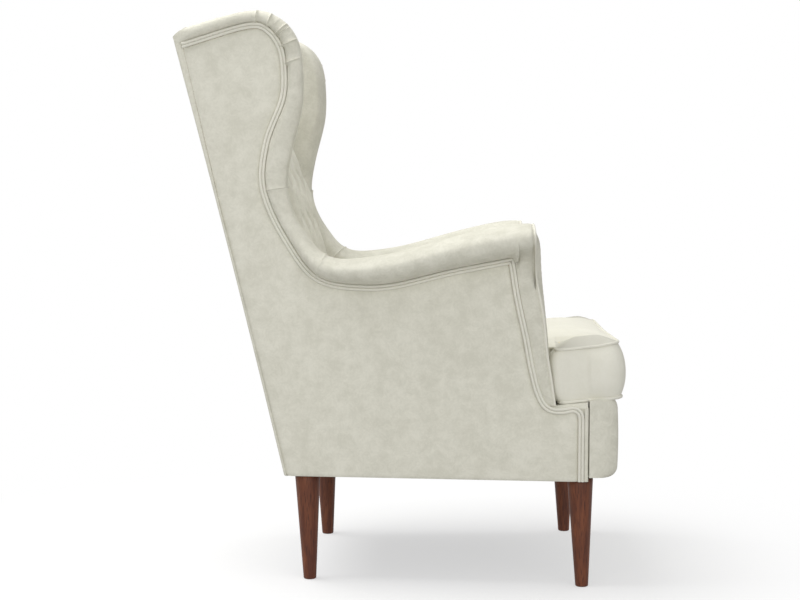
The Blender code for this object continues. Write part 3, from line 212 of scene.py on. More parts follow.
# Section of a roll from the welt over the crest: across, of the bulge or of the roll's width,
# and rise, from the seam to the crest
WING_ROLL_SHARES = [
    (0.00, 0.00), (0.55, 0.06), (0.92, 0.25), (1.00, 0.45), (0.85, 0.70), (0.35, 0.93),
    (-0.35, 1.00), (-0.75, 0.90), (-0.96, 0.60), (-1.00, 0.15),
]
ARM_ROLL_SHARES = [
    (0.00, 0.00), (0.36, 0.03), (0.72, 0.15), (0.95, 0.37), (0.97, 0.63), (0.62, 0.91),
    (-0.10, 1.00), (-0.62, 0.92), (-0.94, 0.62), (-1.00, 0.15),
]
ROLL_GROWTH_SHARES = (0.15, 0.60)
ARM_ROWS = len(ARM_SHARES) - 1.0
SECTION_ROWS = np.concatenate([np.linspace(0.0, 1.0, 8)[:-1], np.linspace(1.0, 9.0, 49)])
LINING_STEPS = 16
LEG_STEPS = 70              # up the outer face of the arm's front post
WRAP_STEPS = 26             # round from the side of the post to its front
LINE_STEP = 0.004           # between the points of the side cover's edge
LINING_BEND_SHARE = 0.44
CREST_ROW = 6               # row of the roll's shares that lies on the crest

# Inside back: height from the seat to the wing's peak, and distance from the outer back
BACK_FACE_SHARES = [
    (0.030, 0.96), (0.180, 1.00), (0.400, 0.99), (0.600, 0.93), (0.730, 0.85), (0.830, 0.74),
    (0.900, 0.58), (0.945, 0.42),
]
BACK_TOP_SHARES = [(0.963, 0.29), (0.968, 0.19), (0.963, 0.09), (0.947, 0.02)]
BORDER_END_SHARES = [(0.0, 0.45), (0.06, 0.60), (0.25, 0.80), (0.60, 0.96), (1.0, 1.0)]

# Pleats of the wing roll: their row at the crest, at the welt, and their depth in metres
PLEATS = [
    (3.30, 3.18, 0.0034), (4.04, 4.06, 0.0040), (5.00, 4.90, 0.0044), (5.20, 5.14, 0.0030),
    (5.96, 5.90, 0.0046), (6.88, 7.04, 0.0044), (4.52, 4.44, 0.0009), (5.52, 5.50, 0.0009),
    (7.80, 7.75, 0.0006), (2.40, 2.40, 0.0006),
]
PLEAT_WIDTH = 0.0014
PLEAT_DEPTH = 1.20          # scale of every depth above
PLEAT_RIDGE = 0.16          # rise of the cloth beside a fold, of the fold's depth
PLEAT_SLOPE = 0.34          # slack on the fold's other side, of the fold's depth
PLEAT_STEP = 0.0009
PLAIN_STEP = 0.0035
PLEAT_ROWS = (2.7, 7.5)

# Materials of the record's slots. The slot velvet has two: the second, across, is a darker copy of
# the velvet, painted shade for the rolls, the border and the facings
FINISH_NAMES = {
    "velvet": "greige velvet", "across": "shaded copy of greige velvet", "cushion_velvet": "velvet of the cushion, painted light and shade",
    "welt_velvet": "piping velvet", "foam": "polyurethane foam", "zip_tape": "zip tape",
    "beech": "beech", "plywood": "beech plywood", "walnut": "walnut stain",
    "spring_steel": "oiled spring steel", "zinc_steel": "zinc-plated steel",
    "webbing": "jute webbing", "black_cloth": "black cambric",
}

# Studio
CAMERA_PLACE = (-3.300, -0.1055, 0.690)
CAMERA_TURN = radians(1.9648)       # from +X towards +Y
CAMERA_DROP = radians(3.2212)
CAMERA_LENS = 75.96
LAMP_AIM = (0.0, 0.0, 0.5)
LAMPS = (                           # name, place, size and power
    ("overhead", (0.1, 1.0, 2.9), 2.4, 70.0),
    ("rear side", (-3.2, 0.8, 0.45), 2.0, 24.0),
    ("front side", (-3.2, -1.3, 1.00), 2.0, 21.0),
)
WHITE = (1.0, 1.0, 1.0, 1.0)
WORLD_LIGHT = 0.58                  # strength of the surroundings as light
FLOOR_RADIUS = 9.0
FLOOR_FADE = (0.60, 1.15)           # from the floor's grey to white, out from the middle
FLOOR_GLOW = 0.52                   # light that the floor adds for the camera alone


def lerp(a, b, share):
    return a + (b - a) * share


def ease(share):
    share = np.clip(share, 0.0, 1.0)
    return share * share * (3.0 - 2.0 * share)


def bell(distance, width):
    """1 in the middle of a ridge or a seam, falling to 0 on both sides of it."""
    return np.exp(-(distance / width) ** 2)


def falloff(distance, reach, power):
    """1 at an edge, falling to 0 at a given reach from it."""
    return (1.0 - np.clip(distance / reach, 0.0, 1.0)) ** power


def back_y(z):
    """The outer back's plane."""
    return DEPTH / 2.0 - BACK_RAKE * (HEIGHT - TOP_CORNER_DROP - z)


def side_half(y, z):
    """Half of the chair's width between its side planes."""
    return BASE_WIDTH / 2.0 - SIDE_TAPER * (y + BASE_TIP) + SIDE_FLARE * (z - LEG_LENGTH)


def seat_z(y, rise=0.0):
    """Underside of the cushion, which slopes down to the rear, or a place above it."""
    front = CUSHION_SEAM_HEIGHT - CUSHION_THICKNESS
    return front - SEAT_RAKE * (y - CUSHION_FRONT) + rise


def deck_top(y):
    """Top of the seat deck, just under the cushion."""
    return seat_z(y, -GAP)


def side_points(side, y, z, out):
    """Places in the side plane, brought out of it, as an array of points."""
    y, z, out = np.broadcast_arrays(np.asarray(y, float), z, out)
    return np.stack([side * (side_half(y, z) + out), y, z], axis=-1)


def curve_at(points, rows):
    """Centripetal Catmull-Rom curve through the points, at places counted in rows."""
    points = np.asarray(points, float)
    last = len(points) - 1
    rows = np.clip(np.asarray(rows, float), 0.0, last)
    i = np.minimum(rows.astype(int), last - 1)
    t = (rows - i)[..., None]
    line = np.vstack([2.0 * points[:1] - points[1:2], points, 2.0 * points[-1:] - points[-2:-1]])
    runs = np.maximum(np.linalg.norm(np.diff(line, axis=0), axis=1), 1e-9)[:, None] ** 0.5
    p0, p1, p2, p3 = (line[i + k] for k in range(4))
    d0, d1, d2 = (runs[i + k] for k in range(3))
    m1 = d1 * ((p1 - p0) / d0 - (p2 - p0) / (d0 + d1)) + p2 - p1
    m2 = d1 * ((p3 - p2) / d2 - (p3 - p1) / (d1 + d2)) + p2 - p1
    bend = (3.0 * (p2 - p1) - 2.0 * m1 - m2) * t ** 2 + (2.0 * (p1 - p2) + m1 + m2) * t ** 3
    return p1 + m1 * t + bend


def line_at(points, rows):
    """The same curve with its bends eased, as cloth over padding has them."""
    rows = np.clip(np.asarray(rows, float), 0.0, len(points) - 1)
    reach = np.minimum(0.6, np.minimum(rows, len(points) - 1 - rows))
    eased = [(weight, curve_at(points, rows + share * reach)) for share, weight in
             ((-1.0, 0.12), (-0.5, 0.24), (0.0, 0.28), (0.5, 0.24), (1.0, 0.12))]
    return sum(weight * place for weight, place in eased)


def lengths(points):
    """Distance along a line of points, at each of them."""
    runs = np.linalg.norm(np.diff(points, axis=0), axis=1)
    return np.concatenate([[0.0], np.cumsum(runs)])


def even_rows(points, spacing, first=0.0, last=None):
    """Places on a curve, in rows, that lie evenly along it."""
    last = len(points) - 1 if last is None else last
    fine = np.linspace(first, last, 40 * len(points))
    along = lengths(curve_at(points, fine))
    count = max(int(round(along[-1] / spacing)), 2)
    return np.interp(np.linspace(0.0, along[-1], count + 1), along, fine)


def resample(points, spacing):
    """The same line with its points in even steps."""
    along = lengths(points)
    count = max(int(round(along[-1] / spacing)), 1)
    places = np.linspace(0.0, along[-1], count + 1)
    return np.stack([np.interp(places, along, points[:, k]) for k in range(points.shape[1])], axis=-1)


def beside(points, distance, closed=False):
    """A line beside a flat line, with mitred corners. Positive is to its left."""
    points = np.asarray(points, float)
    runs = np.diff(np.vstack([points, points[:1]]) if closed else points, axis=0)
    runs /= np.maximum(np.linalg.norm(runs, axis=1), 1e-9)[:, None]
    if closed:
        before = np.roll(runs, 1, axis=0)
        after = runs
    else:
        before = np.vstack([runs[:1], runs])
        after = np.vstack([runs, runs[-1:]])
    n0 = np.stack([-before[:, 1], before[:, 0]], axis=-1)
    n1 = np.stack([-after[:, 1], after[:, 0]], axis=-1)
    middle = n0 + n1
    middle /= np.maximum(np.linalg.norm(middle, axis=1), 1e-9)[:, None]
    stretch = 1.0 / np.maximum((middle * n0).sum(axis=1), 0.5)
    return points + middle * (distance * stretch)[:, None]


def to_line(points, line):
    """Shortest distance from each flat point to a line of points."""
    a = line[:-1][None]
    run = (line[1:] - line[:-1])[None]
    size = np.maximum((run ** 2).sum(axis=-1), 1e-12)
    best = []
    for chunk in np.array_split(points, max(len(points) // 500, 1)):
        share = ((chunk[:, None] - a) * run).sum(axis=-1) / size
        nearest = a + run * np.clip(share, 0.0, 1.0)[..., None]
        best.append(np.linalg.norm(chunk[:, None] - nearest, axis=-1).min(axis=1))
    return np.concatenate(best)


def signed_area(outline):
    """Area inside a closed flat outline, positive where it runs round to the left."""
    x = outline[:, 0]
    y = outline[:, 1]
    return 0.5 * np.sum(x * np.roll(y, -1) - np.roll(x, -1) * y)


def at_height(line, z):
    """First coordinate of a line that rises or falls all along, where its second is z."""
    order = np.argsort(line[:, 1])
    return np.interp(z, line[order, 1], line[order, 0])


def rumple(points, size, seed=0.0):
    """Smooth unevenness between about -1 and 1, with bumps of a given size in metres."""
    shift = Vector((seed, 3.7 * seed, -1.9 * seed))
    return np.array([noise.noise(Vector(p) / size + shift) for p in points])


def wing_point(shares):
    """A place on the wing's edge, as y and z."""
    z = lerp(WAIST_HEIGHT, HEIGHT, shares[1])
    return (back_y(z) - shares[0] * WING_DEPTH, z)


def arm_point(shares):
    """A place on the arm's edge, as y and z."""
    y = lerp(wing_point(WING_SHARES[-1][0])[0], -ARM_TIP, shares[0])
    z = ARM_VALLEY + shares[1] * (WAIST_HEIGHT - ARM_VALLEY) + shares[2] * (ARM_HEIGHT - ARM_VALLEY)
    return (y, z)


WING_SEAM = np.array([wing_point(row[0]) for row in WING_SHARES])
WING_CREST = np.array([wing_point(row[1]) for row in WING_SHARES])
ARM_SEAM = np.array([arm_point(row[0]) for row in ARM_SHARES])
ARM_CREST = np.array([arm_point(row[1]) for row in ARM_SHARES])
POST_TOP = WING_SEAM[0, 1] - POST_TOP_DROP
LEDGE = seat_z(-BASE_TIP, -GAP - DECK_THICKNESS) - WELT_BAND - LEDGE_DROP


def front_line():
    """Front edge of the side cover, from its mitred corner to the bottom of the base."""
    band = beside(line_at(ARM_SEAM, even_rows(ARM_SEAM, LINE_STEP)), WELT_BAND)
    corner_z = np.interp(ARM_CORNER, -band[:, 0], band[:, 1])
    rows = np.array(FRONT_SHARES)
    points = np.stack([lerp(-ARM_CORNER, -FRONT_EDGE, rows[:, 0]),
                       lerp(LEDGE, corner_z, rows[:, 1])], axis=-1)
    curve = curve_at(points, even_rows(points, LINE_STEP))
    foot = np.array([curve[-1], (-FRONT_EDGE, LEG_LENGTH)])
    return np.vstack([curve[:-1], resample(foot, LINE_STEP)])


FRONT_LINE = front_line()


def panel_line():
    """Welted edge of the side cover, from the rear top corner to the bottom of its front."""
    wing = line_at(WING_SEAM, even_rows(WING_SEAM, LINE_STEP, first=1.0))
    arm = line_at(ARM_SEAM, even_rows(ARM_SEAM, LINE_STEP))
    edge = beside(np.vstack([wing, arm[1:]]), WELT_BAND)
    edge = edge[edge[:, 0] > -ARM_CORNER + LINE_STEP / 2.0]
    return np.vstack([edge, FRONT_LINE])


PANEL_LINE = panel_line()


def flange(z):
    """Width of the strip of the back cover that is wrapped round to the side."""
    share = (z - FLANGE_KNEE) / (PANEL_LINE[0, 1] - FLANGE_KNEE)
    return lerp(FLANGE_BOTTOM, FLANGE_TOP, np.clip(share, 0.0, 1.0))


def back_face(share_row):
    """A place on the inside back's face."""
    low = seat_z(0.0)
    z = lerp(low, HEIGHT, share_row[0])
    return (back_y(z) - share_row[1] * BACK_THICKNESS, z)


BACK_FACE = np.array([back_face(row) for row in BACK_FACE_SHARES])


def facing_dip(z):
    """How far the arm's front lies behind its plane: where it is padded most."""
    return sum(depth * bell(z - height, reach) for height, reach, depth in FACING_DIPS)


def facing_y(z):
    """The arm's front, under its facing."""
    return -ARM_TIP - FACING_FORWARD - FACING_RAKE * (ARM_CREST[-1, 1] - z) + facing_dip(z)


def linear(code):
    """Linear colour of an sRGB hex code."""
    channels = [int(code[k:k + 2], 16) / 255.0 for k in (1, 3, 5)]
    return tuple(c / 12.92 if c <= 0.04045 else ((c + 0.055) / 1.055) ** 2.4 for c in channels)


def shaded(colour, share):
    """A colour made darker or lighter."""
    return tuple(min(1.0, share * channel) for channel in colour)


def colour_property(name, description, code):
    return bpy.props.FloatVectorProperty(name=name, description=description, subtype="COLOR",
                                         size=3, min=0.0, max=1.0, default=linear(code))


def length_property(name, description, default):
    return bpy.props.FloatProperty(name=name, description=description, subtype="DISTANCE",
                                   unit="LENGTH", min=0.0, precision=4, default=default)


class ArmchairSizes(bpy.types.PropertyGroup):
    """Sizes of the upholstery that a user may change without touching the frame."""

    cord: length_property("Cord radius", "Radius of each cord of the double piping", 0.0028)
    cushion_cord: length_property("Cushion cord", "Radius of the cushion's top cord", 0.0026)
    seam_drop: length_property("Seam drop", "How deep a cover dips beside its piping", 0.0030)
    tuft_width: length_property("Tuft width", "Across the diamonds of the inside back", 0.120)
    tuft_height: length_property("Tuft height", "Up the diamonds of the inside back", 0.170)
    tuft_depth: length_property("Tuft depth", "Pull at the corners of the diamonds", 0.024)
    pleat_depth: length_property("Pleat depth", "Fold along the sides of the diamonds", 0.012)
    cushion_give: length_property("Cushion give", "Furthest that the filling moves a point", 0.008)
    pressure: bpy.props.FloatProperty(name="Filling", description="Pressure of the cushion's filling",
                                      min=0.0, default=4.0)


class ArmchairColours(bpy.types.PropertyGroup):
    """Colours of the fabrics and woods."""

    velvet: colour_property("Velvet", "Pile of the covers, brushed up", "#DDDBCE")
    velvet_shade: colour_property("Velvet shade", "Pile of the covers, brushed down", "#D0CEC0")
    # painted shade: a darker copy of the velvet, for the rolls, the border and the facings
    across: colour_property("Velvet across", "Pile of the rolls and border, which runs across",
                            "#D8D6C9")
    shaded_copy_brushed_down: colour_property("Velvet across shade", "The same pile, brushed down", "#CAC8BA")
    # painted light: a lighter copy of the velvet for the loose cushion, whose top stands in the most
    # light
    cushion: colour_property("Cushion velvet", "Pile of the loose cushion, brushed up", "#E1DFD3")
    piping: colour_property("Piping", "Velvet cut on the bias over the cords", "#DAD8CC")
    walnut: colour_property("Walnut", "Stained wood of the legs", "#744127")
    walnut_dark: colour_property("Walnut grain", "Dark grain of the legs", "#532917")
    beech: colour_property("Beech", "Wood of the hidden frame", "#C79E70")
    lining: colour_property("Lining", "Cloth under the base and the seat", "#1D1C1B")


def sizes():
    return bpy.context.scene.armchair_sizes


def colours():
    return bpy.context.scene.armchair_colours


def give(tree, node, inputs):
    """Gives inputs of a node their values. A value may be another node's output socket."""
    for key, value in inputs.items():
        if isinstance(value, bpy.types.NodeSocket):
            tree.links.new(value, node.inputs[key])
        else:
            node.inputs[key].default_value = value


def add_node(tree, kind, settings=None, inputs=None):
    """One node with its settings and its inputs."""
    made = tree.nodes.new(kind)
    for name, value in (settings or {}).items():
        setattr(made, name, value)
    give(tree, made, inputs or {})
    return made


def maths(tree, operation, *values):
    """Result of a math node."""
    return add_node(tree, "ShaderNodeMath", {"operation": operation},
                    dict(enumerate(values))).outputs[0]


def vector_maths(tree, operation, *values):
    """A vector math node."""
    return add_node(tree, "ShaderNodeVectorMath", {"operation": operation}, dict(enumerate(values)))


def smooth_step(tree, value, start, end):
    """0 up to a start and 1 from an end, with an eased rise between them."""
    return add_node(tree, "ShaderNodeMapRange", {"interpolation_type": "SMOOTHSTEP"},
                    {"Value": value, "From Min": start, "From Max": end}).outputs[0]


def pattern(node):
    """Factor of a texture node, whichever name the version gives it."""
    return node.outputs["Factor" if "Factor" in node.outputs else "Fac"]


def new_material(name):
    """An empty material with its output, its shader and the object's own coordinates."""
    made = bpy.data.materials.new(name)
    made.use_nodes = True
    tree = made.node_tree
    shader = tree.nodes["Principled BSDF"]
    place = add_node(tree, "ShaderNodeTexCoord").outputs["Object"]
    return made, tree, shader, place


def mottle(tree, place, size, stretch=(1.0, 1.0, 1.0), detail=2.0):
    """Noise whose blotches have a given size in metres, stretched along the axes."""
    scale = [1.0 / (size * part) for part in stretch]
    placed = add_node(tree, "ShaderNodeMapping", inputs={"Vector": place, "Scale": scale})
    return pattern(add_node(tree, "ShaderNodeTexNoise",
                            inputs={"Vector": placed.outputs["Vector"], "Scale": 1.0,
                                    "Detail": detail}))


def mottled_vector(tree, place, size):
    """Noise with a direction, to bend the places that another pattern reads."""
    made = add_node(tree, "ShaderNodeTexNoise",
                    inputs={"Vector": place, "Scale": 1.0 / size, "Detail": 1.0})
    return made.outputs["Color"]


def blend_colours(tree, factor, low, high, colour_a, colour_b):
    """Colour between two, as a factor goes from its low to its high value."""
    spread = add_node(tree, "ShaderNodeMapRange",
                      inputs={"Value": factor, "From Min": low, "From Max": high})
    ends = [colour if isinstance(colour, bpy.types.NodeSocket) else (*colour, 1.0)
            for colour in (colour_a, colour_b)]
    mixed = add_node(tree, "ShaderNodeMix", {"data_type": "RGBA"},
                     {"Factor": spread.outputs[0], 6: ends[0], 7: ends[1]})
    return mixed.outputs[2]


def bumps(tree, height, distance, strength, below=None):
    """Normal of a surface with a pattern's relief, over the relief below it."""
    inputs = {"Height": height, "Distance": distance, "Strength": strength}
    if below is not None:
        inputs["Normal"] = below
    return add_node(tree, "ShaderNodeBump", inputs=inputs).outputs["Normal"]


def velvet(name, light, shade):
    """Cotton velvet with a short cut pile, woven, brushed and stretched over padding.

    The pile lies one way in one place and another way beside it, which gives cloudy light and dark
    blotches a few fingers wide, faint crushed marks inside them, and a pale rim at a low angle.
    """
    made, tree, shader, place = new_material(name)
    clouds = mottle(tree, place, size=0.045, detail=3.0)
    bent = vector_maths(tree, "MULTIPLY_ADD", mottled_vector(tree, place, size=0.030),
                        (0.02, 0.02, 0.02), place).outputs[0]
    patches = mottle(tree, bent, size=0.014, stretch=(1.0, 1.3, 1.0), detail=3.0)
    crushed = mottle(tree, bent, size=0.0042)
    pile = mottle(tree, place, size=0.0019, detail=1.0)   # real tufts are 0.5 mm, too fine to show
    soft = maths(tree, "MULTIPLY_ADD", patches, 1.00, clouds)
    marks = maths(tree, "MULTIPLY_ADD", crushed, 0.80, soft)
    waves = bumps(tree, patches, distance=0.0006, strength=0.22)
    give(tree, shader, {
        "Base Color": blend_colours(tree, marks, 1.10, 1.70, shade, light),
        "Roughness": 0.88, "IOR": 1.45, "Specular IOR Level": 0.15,
        "Sheen Weight": 0.16, "Sheen Roughness": 0.40, "Sheen Tint": (*light, 1.0),
        "Normal": bumps(tree, pile, distance=0.0004, strength=0.30, below=waves),
    })
    return made


def paint_ear_shade(made):
    """Paints shade on the cushion's velvet: the ears' outer tops are darkened, as if less light fell
    on them.
    """
    tree = made.node_tree
    colour = tree.nodes["Principled BSDF"].inputs["Base Color"]
    plain = colour.links[0].from_socket
    place = add_node(tree, "ShaderNodeTexCoord").outputs["Object"]
    either = vector_maths(tree, "ABSOLUTE", place).outputs[0]
    rear = EAR_REAR - CUSHION_LEAN * CUSHION_THICKNESS
    limits = (((1.0, -CREASE_SPLAY, 0.0), CREASE_REAR - CREASE_SPLAY * rear, 0.003),
              ((0.0, 1.0, 0.0), rear, 0.002),
              ((0.0, -SEAT_RAKE, 1.0), seat_z(0.0, CUSHION_THICKNESS), 0.002))
    painted_shade_mask = 1.0
    for direction, edge, blur in limits:
        reach = vector_maths(tree, "DOT_PRODUCT", either, direction).outputs["Value"]
        painted_shade_mask = maths(tree, "MULTIPLY", smooth_step(tree, reach, edge - blur, edge + blur), painted_shade_mask)
    # painted shade: the velvet's colour is scaled down inside this mask
    ear_shade_scale = maths(tree, "MULTIPLY_ADD", painted_shade_mask, -EAR_PAINTED_SHADE, 1.0)
    scaled = vector_maths(tree, "SCALE", plain)
    give(tree, scaled, {"Scale": ear_shade_scale})
    tree.links.new(scaled.outputs[0], colour)


def wood(name, light, dark, size, roughness, coat):
    """Straight-grained hardwood, turned or sawn, with its grain up the piece.

    Stained and oiled, so the pores show as darker lines a third of a millimetre wide, drawn here
    at a millimetre and a half to show, over slow bands of colour.
    """
    _, tree, shader, place = new_material(name)
    bands = mottle(tree, place, 6.0 * size, stretch=(1.0, 1.0, 9.0), detail=3.0)
    pores = mottle(tree, place, size, stretch=(1.0, 1.0, 22.0))
    banded = blend_colours(tree, bands, 0.35, 0.68, dark, light)
    give(tree, shader, {
        "Base Color": blend_colours(tree, pores, 0.46, 0.30, banded, shaded(dark, 0.55)),
        "Roughness": roughness, "Coat Weight": coat, "Coat Roughness": 0.35,
        "Specular IOR Level": 0.30, "Normal": bumps(tree, pores, distance=0.0002, strength=0.25),
    })


def woven(name, light, shade, thread, roughness):
    """Plain weave, such as cambric, jute webbing or tape, with threads of a given width."""
    _, tree, shader, place = new_material(name)
    threads = []
    for axis in ("X", "Y"):
        wave = add_node(tree, "ShaderNodeTexWave", {"bands_direction": axis},
                        {"Vector": place, "Scale": pi / (10.0 * thread), "Distortion": 0.6,
                         "Detail": 1.0, "Detail Scale": 1.0})
        threads.append(pattern(wave))
    weave = maths(tree, "MAXIMUM", *threads)
    give(tree, shader, {
        "Base Color": blend_colours(tree, weave, 0.2, 0.9, shade, light),
        "Roughness": roughness, "Specular IOR Level": 0.2,
        "Normal": bumps(tree, weave, distance=0.0003, strength=0.5),
    })


def foam(name):
    """Polyurethane foam: pale open cells of about a millimetre, quite matt."""
    _, tree, shader, place = new_material(name)
    cells = add_node(tree, "ShaderNodeTexVoronoi", inputs={"Vector": place, "Scale": 1.0 / 0.0025})
    from_middle = cells.outputs["Distance"]
    give(tree, shader, {
        "Base Color": blend_colours(tree, from_middle, 0.1, 0.7, linear("#C9B887"),
                                    linear("#EFE3BC")),
        "Roughness": 0.95, "Normal": bumps(tree, from_middle, distance=0.0006, strength=0.5),
    })


def steel(name, code, roughness, size):
    """Steel wire or bolt, drawn and zinc-plated or oiled: cloudy grey, its roughness varying with the
    same clouds.
    """
    _, tree, shader, place = new_material(name)
    clouds = mottle(tree, place, size, detail=3.0)
    colour = linear(code)
    rough = add_node(tree, "ShaderNodeMapRange",
                     inputs={"Value": clouds, "To Min": roughness - 0.06,
                             "To Max": roughness + 0.08})
    give(tree, shader, {
        "Base Color": blend_colours(tree, clouds, 0.3, 0.7, shaded(colour, 0.8), colour),
        "Roughness": rough.outputs[0], "Metallic": 1.0,
    })


def finishes():
    """All materials, by the name of the record's slot. They are made when first asked for."""
    if "greige velvet" not in bpy.data.materials:
        tone = colours()
        velvet("greige velvet", tone.velvet, tone.velvet_shade)
        # painted shade: a darker copy of the velvet, for the rolls, the border and the facings
        velvet("shaded copy of greige velvet", tone.across, tone.shaded_copy_brushed_down)
        # painted light: a lighter copy of the velvet for the cushion; the ears' outer tops then get
        # painted shade
        paint_ear_shade(velvet("velvet of the cushion, painted light and shade", tone.cushion, tone.velvet))
        velvet("piping velvet", shaded(tone.piping, 1.05), tone.piping)
        wood("walnut stain", tone.walnut, tone.walnut_dark, 0.0015, 0.55, 0.06)
        wood("beech", tone.beech, shaded(tone.beech, 0.8), 0.0012, 0.62, 0.0)
        wood("beech plywood", shaded(tone.beech, 0.93), shaded(tone.beech, 0.72), 0.0030, 0.66, 0.0)
        woven("black cambric", shaded(tone.lining, 1.6), tone.lining, 0.0012, 0.92)
        woven("jute webbing", linear("#A98F66"), linear("#7C6645"), 0.0022, 0.9)
        woven("zip tape", linear("#CFCBBB"), linear("#B5B1A1"), 0.0010, 0.85)
        foam("polyurethane foam")
        steel("oiled spring steel", "#8C8C8E", 0.38, 0.020)
        steel("zinc-plated steel", "#C2C2BE", 0.34, 0.012)
    return {slot: bpy.data.materials[name] for slot, name in FINISH_NAMES.items()}


def both_sides(builder):
    """Runs a builder for the left side and for the right."""
    for label, side in SIDES:
        builder(label, side)


def linked(name, data):
    """A new object with its data, in the scene."""
    made = bpy.data.objects.new(name, data)
    bpy.context.scene.collection.objects.link(made)
    return made


def solid(name, vertices, faces, slots, body, face_slots=None):
    """A closed piece with its faces pointing out, its finish and the body that it rides on."""
    mesh = bpy.data.meshes.new(name)
    mesh.from_pydata([tuple(p) for p in vertices], [], [tuple(f) for f in faces])
    for slot in slots:
        mesh.materials.append(finishes()[slot])
    if face_slots is not None:
        mesh.polygons.foreach_set("material_index", face_slots)
    bm = bmesh.new()
    bm.from_mesh(mesh)
    bmesh.ops.remove_doubles(bm, verts=bm.verts, dist=1e-6)
    bmesh.ops.triangulate(bm, faces=[f for f in bm.faces if len(f.verts) > 4])
    bmesh.ops.recalc_face_normals(bm, faces=bm.faces)
    if bm.calc_volume(signed=True) < 0.0:
        bmesh.ops.reverse_faces(bm, faces=bm.faces)
    open_edges = sum(1 for edge in bm.edges if len(edge.link_faces) != 2)
    bm.to_mesh(mesh)
    bm.free()
    if open_edges:
        raise RuntimeError("%s has %d open edges" % (name, open_edges))
    mesh.shade_smooth()
    mesh.set_sharp_from_angle(angle=SHARP)
    made = linked(name, mesh)
    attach(made, body)
    return made


def ring_faces(first, second):
    """Quads between two rings of equally many vertex numbers."""
    return list(zip(first, first[1:] + first[:1], second[1:] + second[:1], second))


def fan(ring, middle):
    """Triangles that close a ring of points round a middle point."""
    ring = list(ring)
    return [(a, b, middle) for a, b in zip(ring, ring[1:] + ring[:1])]


def loft_faces(stations, count, start=0):
    """Quads along a row of closed rings, whose points are numbered from a start."""
    numbers = np.arange(start, start + stations * count).reshape(stations, count).tolist()
    faces = []
    for a, b in zip(numbers, numbers[1:]):
        faces += ring_faces(a, b)
    return faces


def loft(name, rings, slot, body=CHAIR):
    """A closed piece through rings that have equally many points."""
    rings = np.array(rings)
    stations, count = rings.shape[:2]
    ends = [tuple(range(count)), tuple(range((stations - 1) * count, stations * count))]
    faces = loft_faces(stations, count) + ends
    return solid(name, rings.reshape(-1, 3), faces, [slot], body)


def fill(outline, spacing, rows=(0.0012, 0.003, 0.006, 0.010)):
    """Triangles over a closed flat outline, finer along its edge: points, faces, edge distances."""
    ring = np.vstack([outline, outline[:1]])
    edge = resample(ring, min(spacing, LINE_STEP))[:-1]
    inward = 1.0 if signed_area(outline) > 0.0 else -1.0
    points = [edge]
    for row in rows:
        near = beside(edge, inward * row, closed=True)
        points.append(near[to_line(near, ring) > 0.93 * row])
    low = outline.min(axis=0)
    high = outline.max(axis=0)
    step = np.array([spacing, spacing * 0.866])     # rows of triangles with equal sides
    counts = ((high - low) / step).astype(int) + 2
    grid = []
    for j in range(counts[1]):
        xs = low[0] + (np.arange(counts[0]) + 0.5 * (j % 2)) * step[0]
        grid.append(np.stack([xs, np.full(counts[0], low[1] + j * step[1])], axis=-1))
    grid = np.vstack(grid)
    x, y = grid[:, 0], grid[:, 1]
    inside = np.zeros(len(grid), bool)
    for (ax, ay), (bx, by) in zip(ring[:-1], ring[1:]):
        crosses = (ay > y) != (by > y)
        if ay != by:
            inside ^= crosses & (x < (bx - ax) * (y - ay) / (by - ay) + ax)
    grid = grid[inside]
    grid = grid[to_line(grid, ring) > rows[-1] + 0.6 * spacing]
    points = np.vstack(points + [grid])
    count = len(edge)
    edges = [(k, (k + 1) % count) for k in range(count)]
    result = geometry.delaunay_2d_cdt([Vector(p) for p in points], edges, [], 1, 1e-6)
    points = np.array([tuple(p) for p in result[0]])
    return points, result[2], to_line(points, ring)


def border_edges(faces):
    """Edges that only one face has, in that face's direction."""
    seen = {}
    for face in faces:
        for a, b in zip(face, face[1:] + face[:1]):
            seen[(a, b)] = seen.get((a, b), 0) + 1
    return [(a, b) for a, b in seen if (b, a) not in seen]


def sheet_solid(name, front, back, faces, slots, body, face_slots=None):
    """A closed sheet from its two skins, which share one set of faces."""
    faces = [list(face) for face in faces]
    count = len(front)
    every = [tuple(face) for face in faces]
    every += [tuple(count + k for k in face[::-1]) for face in faces]
    wall = border_edges(faces)
    every += [(b, a, count + a, count + b) for a, b in wall]
    if face_slots is not None:
        face_slots = list(face_slots) * 2 + [0] * len(wall)
    return solid(name, np.vstack([front, back]), every, slots, body, face_slots)


def push(grid, amount):
    """Moves a grid of points out along its own normals; its first axis runs along the piece."""
    along = np.gradient(grid, axis=0)
    round_it = np.gradient(grid, axis=1)
    normal = np.cross(along, round_it)
    normal /= np.maximum(np.linalg.norm(normal, axis=-1), 1e-9)[..., None]
    return grid + normal * amount[..., None]


def tree_input(tree, name):
    """Key of a tree's input with a given name."""
    return next(item.identifier for item in tree.interface.items_tree
                if item.item_type == "SOCKET" and item.in_out == "INPUT" and item.name == name)


def new_tree(name, inputs):
    """An empty Geometry Nodes tree with named inputs, and its input node."""
    tree = bpy.data.node_groups.new(name, "GeometryNodeTree")
    for label, kind in (("Geometry", "Geometry"), *inputs):
        tree.interface.new_socket(label, in_out="INPUT", socket_type="NodeSocket" + kind)
    tree.interface.new_socket("Geometry", in_out="OUTPUT", socket_type="NodeSocketGeometry")
    return tree, add_node(tree, "NodeGroupInput").outputs


def end_tree(tree, geometry_socket, material_socket):
    """Ends a tree in Realize Instances and Set Material."""
    real = add_node(tree, "GeometryNodeRealizeInstances", inputs={"Geometry": geometry_socket})
    finish = add_node(tree, "GeometryNodeSetMaterial",
                      inputs={"Geometry": real.outputs["Geometry"], "Material": material_socket})
    add_node(tree, "NodeGroupOutput", inputs={"Geometry": finish.outputs["Geometry"]})


